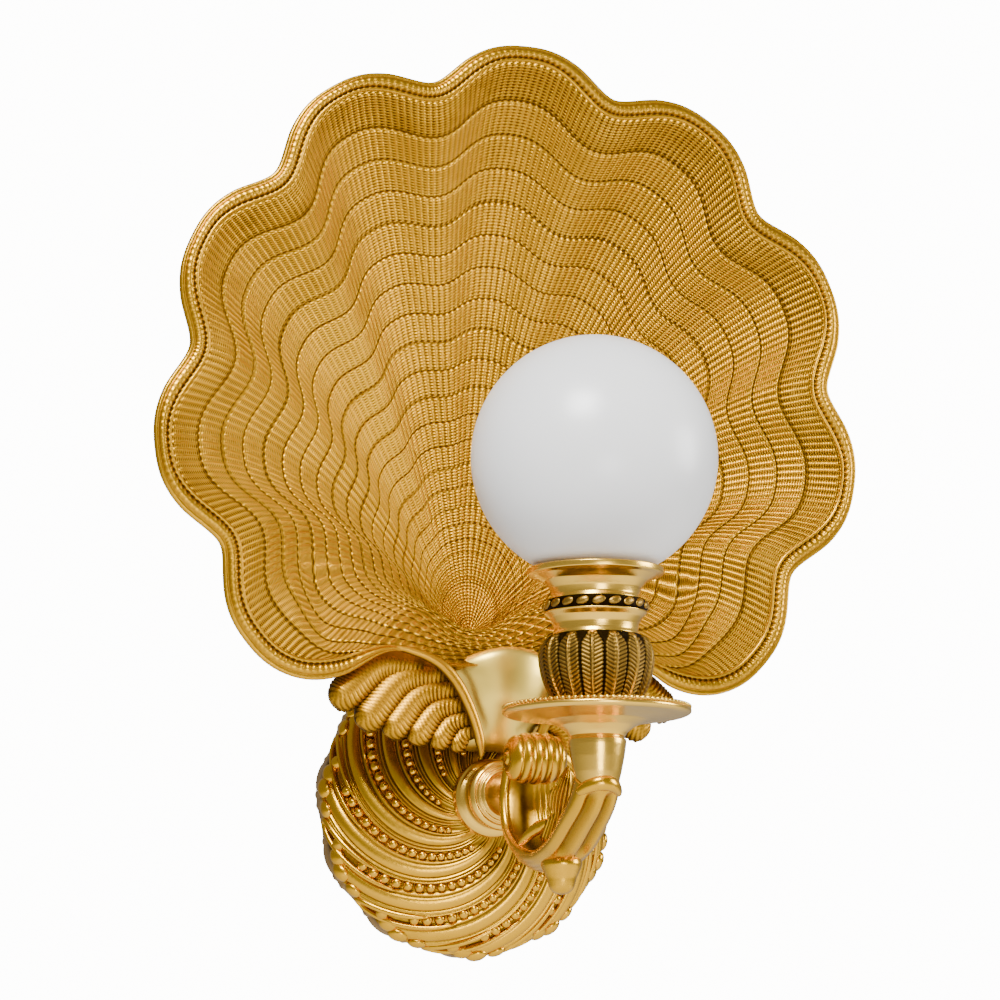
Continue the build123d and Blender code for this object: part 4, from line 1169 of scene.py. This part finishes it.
# ---------------------------------------------------------------------------------------
# collar, scroll arm and finial
# ---------------------------------------------------------------------------------------
@dataclass
class ScrollArm:
    """Wall collar, cast scroll with its leaf, curl and fluted strap, and the drop under it."""

    path: tuple = ((77, 14), (72.5, 5), (71, -5), (75, -16), (86, -24), (98, -26), (112, -22.5), (124, -16),
                   (132.5, -10), (137.5, -3.5))
    curl_out: float = 79.6
    curl_z: float = 9.4
    curl_half: float = 10.3         # half its length
    plan: tuple = (                 # share of the scroll; half width, thickness and cupping there
        (0.0, 9.0, 3.2, 2.2), (0.2, 10.6, 3.2, 4.5), (0.43, 10.6, 3.2, 3.4),
        (0.63, 8.9, 3.4, 0.6), (0.84, 8.3, 4.0, 0.0), (1.0, 7.6, 6.6, 0.0),
    )
    rows: int = 220
    columns: int = 128
    rib_depth: float = 0.38
    vein_depth: float = 0.3
    flute_depth: float = 2.5        # of the two flutes down the strap
    curl_lobes: int = 5
    finial_out: float = 104.0

    def build(self) -> None:
        """Make the three pieces."""
        self.collar()
        sheets = [self.casting(), self.curl(), self.spigot(), self.fold(), self.blade(), self.lobe()]
        make_piece("scroll_arm", sheets, ["arm"], CAST_GILT.material())
        self.finial()

    def collar(self) -> None:
        """Turned rings between the plate and the arm."""
        profile = [(5.5, 33.0), (12.6, 33.0), (13.8, 34.3), (13.8, 37.2), (12.9, 38.6), (11.2, 39.6), (10.6, 42.0),
                   (10.9, 44.0), (12.0, 44.8), (12.4, 46.6), (12.0, 48.4), (11.0, 49.2), (10.2, 49.0), (9.8, 50.2),
                   (8.9, 50.2), (8.5, 51.4), (6.0, 51.4)]
        line = cornered(profile, 0.5, 4, 1.0)
        # Painted shade in the collar's groove.
        dark = (bell(line[:, 0] - 10.7, 1.0) * bell(line[:, 1] - 42, 4))[:, None] * np.ones(128)
        sheet = Sheet(turned_outward(line), patina_and_shade=dark)
        make_piece("collar", [sheet], ["wall_collar"], TURNED_SATIN.material())

    def casting(self) -> Sheet:
        """Leaf and strap: a section that changes along the scroll.

        Inside the leaf the edges stand forward round a trough, with fine ribs on its right;
        on the strap two flutes run down the outer side.

        Returns:
            The casting's skin.
        """
        line = faired(self.path, self.rows)
        curve = np.stack([np.zeros(self.rows), -line[:, 0], line[:, 1]], axis=1)
        share = np.linspace(0, 1, self.rows)[:, None]
        plan = faired(self.plan, 80)
        half, thick, cup = (np.interp(share, plan[:, 0], plan[:, i]) for i in (1, 2, 3))
        angle = turns(self.columns)[None, :]
        across, height = np.cos(angle), np.sin(angle)
        inside, outside = np.clip(height, 0, 1) ** 0.5, np.clip(-height, 0, 1) ** 0.5
        leaf = ease(0.62, 0.45, share)
        strap = ease(0.64, 0.71, share) * ease(1.0, 0.95, share)
        lift = np.sign(height) * np.abs(height) ** 0.8 * thick + cup * (across**2 - 0.45)
        trough = bell(across + 0.12, 0.62)
        rim = bell(across + 0.86, 0.2) + 0.6 * bell(across - 0.9, 0.14)
        ribs = np.cos(2 * pi * (across - 0.2) * 5.5) * ease(0.22, 0.34, across) * ease(0.98, 0.86, across)
        lift = lift + inside * leaf * (-1.7 * trough + 1.3 * rim + self.rib_depth * ribs)
        flutes = bell(across - 0.4, 0.3) ** 0.7 + bell(across + 0.4, 0.3) ** 0.7
        veins = np.cos(2 * pi * across * 4.0)
        lift = lift + outside * (strap * (self.flute_depth * flutes - 0.3) - leaf * self.vein_depth * veins)
        section = np.stack([lift, half * across], axis=-1)
        # Painted shade in the leaf's trough, between its ribs and veins, and in the strap's two flutes.
        dark = inside * leaf * (0.95 * trough + 0.5 * ease(0.2, -0.9, ribs) * ease(0.25, 0.4, across))
        dark = dark + outside * (strap * 0.75 * bell(np.abs(across) - 0.4, 0.26) + leaf * 0.5 * ease(0.2, -0.9, veins))
        return Sheet(swept(curve, (1, 0, 0), section), patina_and_shade=np.clip(dark, 0, 1))

    def curl(self) -> Sheet:
        """Melon-shaped curl at the leaf's tip: its lobes are a sine of the length, with an eye at each end.

        Returns:
            The curl.
        """
        half = self.curl_half
        profile = faired(np.array([(-half - 0.4, 0.3), (-half - 0.6, 1.6), (-half + 0.3, 2.5), (-half + 0.1, 3.6),
                                   (-half + 0.6, 5.6), (-half + 2.4, 7.6), (-half + 5.4, 8.6), (0, 8.9),
                                   (half - 5.4, 8.6), (half - 2.4, 7.6), (half - 0.6, 5.6), (half - 0.1, 3.6),
                                   (half - 0.3, 2.5), (half + 0.6, 1.6), (half + 0.4, 0.3)]), 120)
        x, reach = profile[:, 0, None], profile[:, 1, None]
        lobes = np.abs(np.sin(pi * (x + half) / (2 * half / self.curl_lobes)))
        body = ease(4.0, 6.5, reach)
        radius = reach * (1 - 0.11 * body * (1 - lobes) ** 1.4)
        angle = turns(72)[None, :]
        grid = np.stack([x + 0 * angle, -self.curl_out + radius * np.cos(angle),
                         self.curl_z + radius * np.sin(angle)], axis=-1)
        # Painted shade between the lobes and round the eyes.
        dark = np.clip(body * ease(0.45, 0.0, lobes) + bell(reach - 2.9, 0.8), 0, 1) + 0 * angle
        return Sheet(grid, patina_and_shade=0.8 * dark)

    def spigot(self) -> Sheet:
        """Round root that joins the leaf to the collar.

        Returns:
            The root.
        """
        profile = cornered([(0.4, 50.0), (7.0, 50.0), (6.4, 56.0), (6.6, 64.0), (7.4, 68.5), (0.4, 68.5)], 1.0)
        # Painted shade towards the collar, behind the leaf.
        dark = 0.7 * ease(62, 52, profile[:, 1])[:, None] * np.ones(64)
        return Sheet(turned_outward(profile, 64), patina_and_shade=dark)

    def fold(self) -> Sheet:
        """Thin rolled lip over the top of the strap: a parabola arched before the stem's foot.

        Returns:
            The lip.
        """
        across = np.linspace(-1, 1, 40)
        arch = 1 - across**2
        curve = np.stack([7.2 * across, -138.2 - 5.2 * arch, -8.1 + 3.4 * arch**0.8], axis=1)
        along = unit(np.gradient(curve, axis=0))
        forward = np.cross(along, np.array([0, 0, 1.0]))
        upward = np.cross(along, forward)
        return Sheet(ringed(curve, 1.1 + 1.2 * arch**0.5, forward, upward, 1.2, 24))

    def blade(self) -> Sheet:
        """Ribbed acanthus blade inside the scroll, from its left lip up to a pointed tip.

        Its left edge has three notches; seven ribs run along it as a cosine of the place across.

        Returns:
            The blade.
        """
        left = np.array([(-7.0, 88.0, -27.0), (-5.4, 92.0, -22.5), (-4.2, 96.0, -17.0), (-3.6, 100.0, -11.8),
                         (-4.4, 103.0, -7.4), (-4.8, 106.0, -4.2), (-3.2, 109.5, -0.6), (-1.2, 112.0, 3.2)])
        right = np.array([(-1.0, 103.0, -29.5), (-0.6, 106.0, -23.5), (-0.2, 108.0, -17.5), (0.0, 110.0, -12.0),
                          (0.2, 112.0, -7.5), (0.4, 113.0, -3.5), (0.2, 113.5, 0.4), (-0.4, 113.0, 3.4)])
        rows, columns = 120, 40
        low, high = faired(left, rows), faired(right, rows)
        t = np.linspace(0, 1, rows)[:, None]
        across = np.r_[np.linspace(0, 1, columns), np.linspace(1, 0, columns)][None, :]
        front = np.r_[np.ones(columns), np.zeros(columns)][None, :]
        notch = 0.32 * ((1 - t) ** 0.4) * np.abs(np.sin(pi * 3.2 * t**1.2)) ** 8
        place = notch + across * (1 - notch)
        ribs = np.cos(2 * pi * place * 6.5)
        bulge = np.sin(pi * across)
        lift = front * (2.4 * bulge + 0.45 * ribs * ease(0, 0.12, across) * ease(1, 0.88, across)) - 1.2 * (1 - front)
        lift = lift * ease(0.0, 0.08, t) ** 0.5 * (0.25 + 0.75 * ease(1.0, 0.85, t))
        spot = low[:, None] + (high - low)[:, None] * place[..., None]
        grid = np.stack([spot[..., 0] - 0.5 * lift, -spot[..., 1] - 0.85 * lift, spot[..., 2]], axis=-1)
        # Painted shade between the ribs and over the blade's back.
        dark = front * 0.7 * ease(0.1, -0.9, ribs) + 0.6 * (1 - front)
        return Sheet(grid, patina_and_shade=np.clip(dark, 0, 1))

    def lobe(self) -> Sheet:
        """Folded leaf lobe that hooks from the blade into the trough.

        Returns:
            The lobe.
        """
        line = faired(np.array([(-1.8, 100.0, -13.0), (-4.0, 96.5, -14.8), (-6.4, 92.0, -17.2), (-8.0, 88.0, -20.0),
                                (-8.4, 85.0, -22.4)]), 50)
        curve = np.stack([line[:, 0], -line[:, 1], line[:, 2]], axis=1)
        place = np.linspace(0, 1, 50)
        radius = np.interp(place, [0, 0.3, 0.7, 1], [0.7, 2.3, 1.6, 0.4])
        along = unit(np.gradient(curve, axis=0))
        sideways = unit(np.cross(along, np.array([0, -1.0, 0.3])))
        outward = np.cross(sideways, along)
        return Sheet(ringed(curve, radius, sideways, outward, 0.7, 20))

    def finial(self) -> None:
        """Smooth drop under the scroll's foot."""
        profile = np.array([(6.6, -26.6), (6.9, -28.4), (6.1, -30.6), (5.1, -32.8), (4.6, -34.6), (3.9, -36.4),
                            (2.4, -37.8), (0.3, -38.4)])
        sheet = Sheet(turned(faired(profile, 40), 64, self.finial_out))
        make_piece("drop", [sheet], ["drop_finial"], CAST_GILT.material())


# ---------------------------------------------------------------------------------------
# candle stack
# ---------------------------------------------------------------------------------------
@dataclass
class CandleStack:
    """Stem, drip dish, feathered vase, two cups and the ring of beads between them."""

    feathers: int = 14
    feather_columns: int = 30
    ring_beads: int = 20
    rope_beads: int = 92
    rope_radius: float = 30.0

    def build(self) -> None:
        """Make the six turned and cast pieces."""
        satin = TURNED_SATIN.material()
        self.lathe("stem_pillar", "stem", [(0.4, -6.0), (6.6, -6.0), (7.9, -1.0), (8.9, 4.0), (9.5, 8.0), (9.6, 9.7),
                                           (8.9, 9.9), (8.9, 10.7), (0.4, 10.7)], satin)
        self.dish(satin)
        self.vase()
        self.lathe("cup_lower", "lower_cup", [(12.0, 43.8), (14.4, 43.8), (13.9, 45.2), (14.2, 47.4), (15.2, 49.6),
                                              (16.8, 51.0), (16.9, 51.5), (12.0, 51.5)], satin)
        self.ring()
        self.lathe("cup_upper", "upper_cup", [(12.6, 55.5), (15.0, 55.5), (14.5, 57.0), (15.0, 59.2), (17.0, 61.6),
                                              (20.4, 63.4), (22.4, 63.9), (22.6, 65.8), (21.4, 66.1), (17.6, 63.4),
                                              (14.0, 60.0), (12.6, 57.0)], satin)

    def lathe(self, name: str, node: str, profile: list, material: bpy.types.Material) -> None:
        """Turn a closed outline into one piece."""
        line = cornered([*profile, profile[0]], 0.35, 4, 1.0)
        make_piece(name, [Sheet(turned(line[:-1]), joined=True)], [node], material)

    def dish(self, material: bpy.types.Material) -> None:
        """Drip dish: trumpet neck, broad underside, polished band and a roped upper edge.

        Args:
            material: Its finish.
        """
        profile = cornered([(5.2, 10.6), (9.2, 10.6), (9.9, 12.0), (12.4, 14.0), (17.0, 16.0), (24.0, 17.0),
                            (29.4, 17.5), (30.9, 18.2), (31.0, 19.4), (29.0, 20.4), (27.2, 19.9), (14.0, 19.9),
                            (5.2, 19.9), (5.2, 10.6)], 0.6, 4, 1.0)
        body = Sheet(turned(profile[:-1], 160), joined=True)
        away, around, up = spokes(self.rope_beads)
        centres = self.rope_radius * away + [0, -LAMP_OUT, 20.2]
        lean = 0.8 * around + 0.6 * away
        axes = np.stack([lean, np.cross(up, lean), up], axis=1)
        rope = beads(centres, axes, np.tile([1.35, 0.78, 0.75], (self.rope_beads, 1)), 5, 10)
        make_piece("drip_dish", [body, *rope], ["bobeche"], material)

    def vase(self) -> None:
        """Vase with upright feathers: thick midribs and slanting barbs.

        Each feather is one period of the angle; barbs are a cosine of the height less the
        distance from the midrib.
        """
        outline = faired(np.array([(10.8, 20.0), (12.2, 21.0), (14.6, 24.0), (16.9, 29.0), (18.0, 34.0),
                                   (18.1, 37.5), (17.2, 41.0), (15.2, 43.6)]), 90)
        columns = self.feathers * self.feather_columns
        angle = turns(columns)[None, :]
        side = np.abs((angle * self.feathers / (2 * pi)) % 1.0 - 0.5) * 2
        height = outline[:, 1, None]
        tall = (height - 20.0) / 23.6
        midrib = bell(side, 0.2)
        width = 1.0 - 0.5 * ease(0.8, 1.0, tall)
        blade = ease(width, width - 0.18, side)
        barbs = np.cos(2 * pi * (height / 1.35 - side * 1.5))
        relief = 0.7 * blade + 0.7 * midrib + 0.22 * barbs * blade * (1 - midrib) - 0.3
        radius = outline[:, 0, None] + relief * ease(0, 0.06, tall) * ease(1.0, 0.96, tall)
        dark = np.clip((1 - blade) + 0.6 * ease(0.3, -0.8, barbs) * (1 - midrib) + 0.25, 0, 1) * (1 - 0.8 * midrib)
        skin = np.stack([radius * np.cos(angle), radius * np.sin(angle) - LAMP_OUT, height + 0 * angle], axis=-1)
        inner = turned(np.array([(13.2, 43.6), (13.0, 40.0), (8.0, 22.0)]), columns)
        points = np.concatenate([skin, inner], axis=0)
        patina_and_shade = np.concatenate([dark, np.full(inner.shape[:2], 0.8)], axis=0)
        make_piece("feathered_vase", [Sheet(points, patina_and_shade=patina_and_shade)], ["vase"], ANTIQUE.material())

    def ring(self) -> None:
        """Dark ring with long leaning beads."""
        profile = cornered([(13.0, 51.6), (16.4, 51.6), (17.0, 52.3), (17.0, 54.6), (16.2, 55.4), (13.0, 55.4),
                            (13.0, 51.6)], 0.3, 3, 1.0)
        band = turned(profile[:-1])
        away, around, up = spokes(self.ring_beads)
        lean = unit(around + 0.28 * up)
        axes = np.stack([lean, np.cross(away, lean), away], axis=1)
        centres = 16.9 * away + [0, -LAMP_OUT, 53.4]
        balls = beads(centres, axes, np.tile([2.3, 1.3, 0.75], (self.ring_beads, 1)), 9, 16)
        dark = Sheet(band, patina_and_shade=np.ones(band.shape[:2]), joined=True)
        make_piece("beaded_ring", [dark, *balls], ["bead_ring"], ANTIQUE.material())


@dataclass
class Lamp:
    """Opal globe on its neck; it lifts out of the lampholder."""

    radius: float = 40.8
    centre_z: float = 103.0
    glass: float = 0.9              # thickness
    opening: float = 163.0          # degrees from the top to the neck
    rings: int = 60
    neck: tuple = ((9.4, 63.9), (7.6, 61.6), (6.9, 59.0), (6.9, 55.1), (6.0, 55.1), (6.0, 60.0))

    def build(self) -> None:
        """Make the globe. The lamp's small parts get their finish from HiddenParts."""
        tilt = np.linspace(0.0, radians(self.opening), self.rings)[1:]
        arc = np.stack([np.sin(tilt), np.cos(tilt)], axis=1)
        outside = self.radius * arc + [0, self.centre_z]
        inside = (self.radius - self.glass) * arc + [0, self.centre_z]
        profile = np.vstack([outside, self.neck, inside[::-1]])
        make_piece("opal_bulb", [Sheet(turned(profile, 128))], ["lamp_globe"], OPAL.material(), LAMP)


class HiddenParts:
    """Fixings and electrical parts that keep their CAD solids and get their own finish."""

    plan = {
        "plated_steel": (PLATED, ("wall_crossbar", "fixing_nipple", "fixing_washer", "fixing_locknut",
                                  "shell_screws", "stem_nipple", "stem_washer", "stem_locknut")),
        "black_insulator": (PHENOLIC, ("lampholder_body", "lamp_insulator")),
        "shell_brass_thin": (PRESSED, ("lampholder_shell", "lampholder_contact")),
        "nickel": (NICKEL, ("lamp_cap", "lamp_contact")),
    }

    def build(self) -> None:
        """Give each kept node its finish."""
        for finish, names in self.plan.values():
            material = finish.material()
            for name in names:
                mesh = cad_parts[name].data
                mesh.materials.clear()
                mesh.materials.append(material)


# ---------------------------------------------------------------------------------------
# camera, light and floor
# ---------------------------------------------------------------------------------------
@dataclass
class Studio:
    """White studio: camera at the photograph's angle, soft lights and a pale floor."""

    place: tuple[float, float, float] = (-446.41, -1272.70, -125.88)
    turn: float = 20.0
    rise: float = 10.0
    roll: float = -0.3
    focal_pixels: float = 3760.0
    picture_pixels: float = 1000.0
    lights: tuple = (
        # name, place, target, side in mm, watts
        ("key", (-500, -900, 900), (0, -60, 120), 450, 36.0),
        ("side", (1100, -500, 250), (0, -60, 120), 500, 13.0),
        ("front", (-150, -1450, -350), (0, -60, 60), 450, 9.0),
    )
    sensor_mm: float = 36.0

    def build(self) -> None:
        """Make the camera, the floor, the world and the lights."""
        self.camera()
        self.floor()
        self.world()
        for lamp in self.lights:
            self.light(*lamp)

    def camera(self) -> None:
        """Camera from its place, its turn about the upright axis, its rise and its roll."""
        turn, rise, roll = radians(self.turn), radians(self.rise), radians(self.roll)
        forward = Vector((sin(turn) * cos(rise), cos(turn) * cos(rise), sin(rise)))
        right = Vector((cos(turn), -sin(turn), 0))
        up = right.cross(forward)
        rolled_right = cos(roll) * right + sin(roll) * up
        rolled_up = cos(roll) * up - sin(roll) * right
        data = bpy.data.cameras.new("photo_camera")
        data.sensor_width = self.sensor_mm
        data.lens = self.focal_pixels / self.picture_pixels * self.sensor_mm
        data.clip_start = 0.01
        camera = bpy.data.objects.new("photo_camera", data)
        axes = Matrix((rolled_right, rolled_up, -forward)).transposed().to_4x4()
        camera.matrix_world = Matrix.Translation(Vector(self.place) * MM) @ axes
        bpy.context.scene.collection.objects.link(camera)
        bpy.context.scene.camera = camera

    def floor(self) -> None:
        """Pale floor well under the sconce."""
        size, height = 6.0, -0.42
        mesh = bpy.data.meshes.new("floor")
        corners = [(-size, -size, height), (size, -size, height), (size, size, height), (-size, size, height)]
        mesh.from_pydata(corners, [], [(0, 1, 2, 3)])
        mesh.materials.append(Plain("pale_floor", "#F2F1EF", 0.0, 0.8).material())
        floor = bpy.data.objects.new("floor", mesh)
        bpy.context.scene.collection.objects.link(floor)

    def world(self) -> None:
        """White surroundings that look brighter to the camera than to the metal."""
        world = bpy.data.worlds.new("white_studio")
        world.use_nodes = True
        tree = world.node_tree
        seen = add_node(tree, "ShaderNodeLightPath").outputs["Is Camera Ray"]
        power = add_node(tree, "ShaderNodeMapRange", links={"Value": seen}, values={"To Min": 0.37, "To Max": 14.0})
        ground = tree.nodes["Background"]
        ground.inputs["Color"].default_value = (1.0, 0.985, 0.96, 1.0)
        tree.links.new(power.outputs["Result"], ground.inputs["Strength"])
        bpy.context.scene.world = world

    def light(self, name: str, place: tuple[float, float, float], target: tuple[float, float, float],
              size_mm: float, power: float) -> None:
        """Add a square soft light that looks at a target.

        Args:
            name: The light's name.
            place: Where it stands.
            target: What it looks at.
            size_mm: Its side.
            power: Its power in watts.
        """
        data = bpy.data.lights.new(name, "AREA")
        data.shape = "SQUARE"
        data.size = size_mm * MM
        data.energy = power
        light = bpy.data.objects.new(name, data)
        light.location = Vector(place) * MM
        aim = (Vector(target) - Vector(place)).to_track_quat("-Z", "Y")
        light.rotation_euler = aim.to_euler()
        bpy.context.scene.collection.objects.link(light)


def main() -> None:
    """Build every sub-assembly in order."""
    logging.basicConfig(level=logging.INFO, format="%(name)s %(message)s")
    Studio().build()
    for assembly in (Shell(), WallPlate(), HingeAndEars(), ScrollArm(), CandleStack(), Lamp(), HiddenParts()):
        assembly.build()


if __name__ == "__main__":
    main()
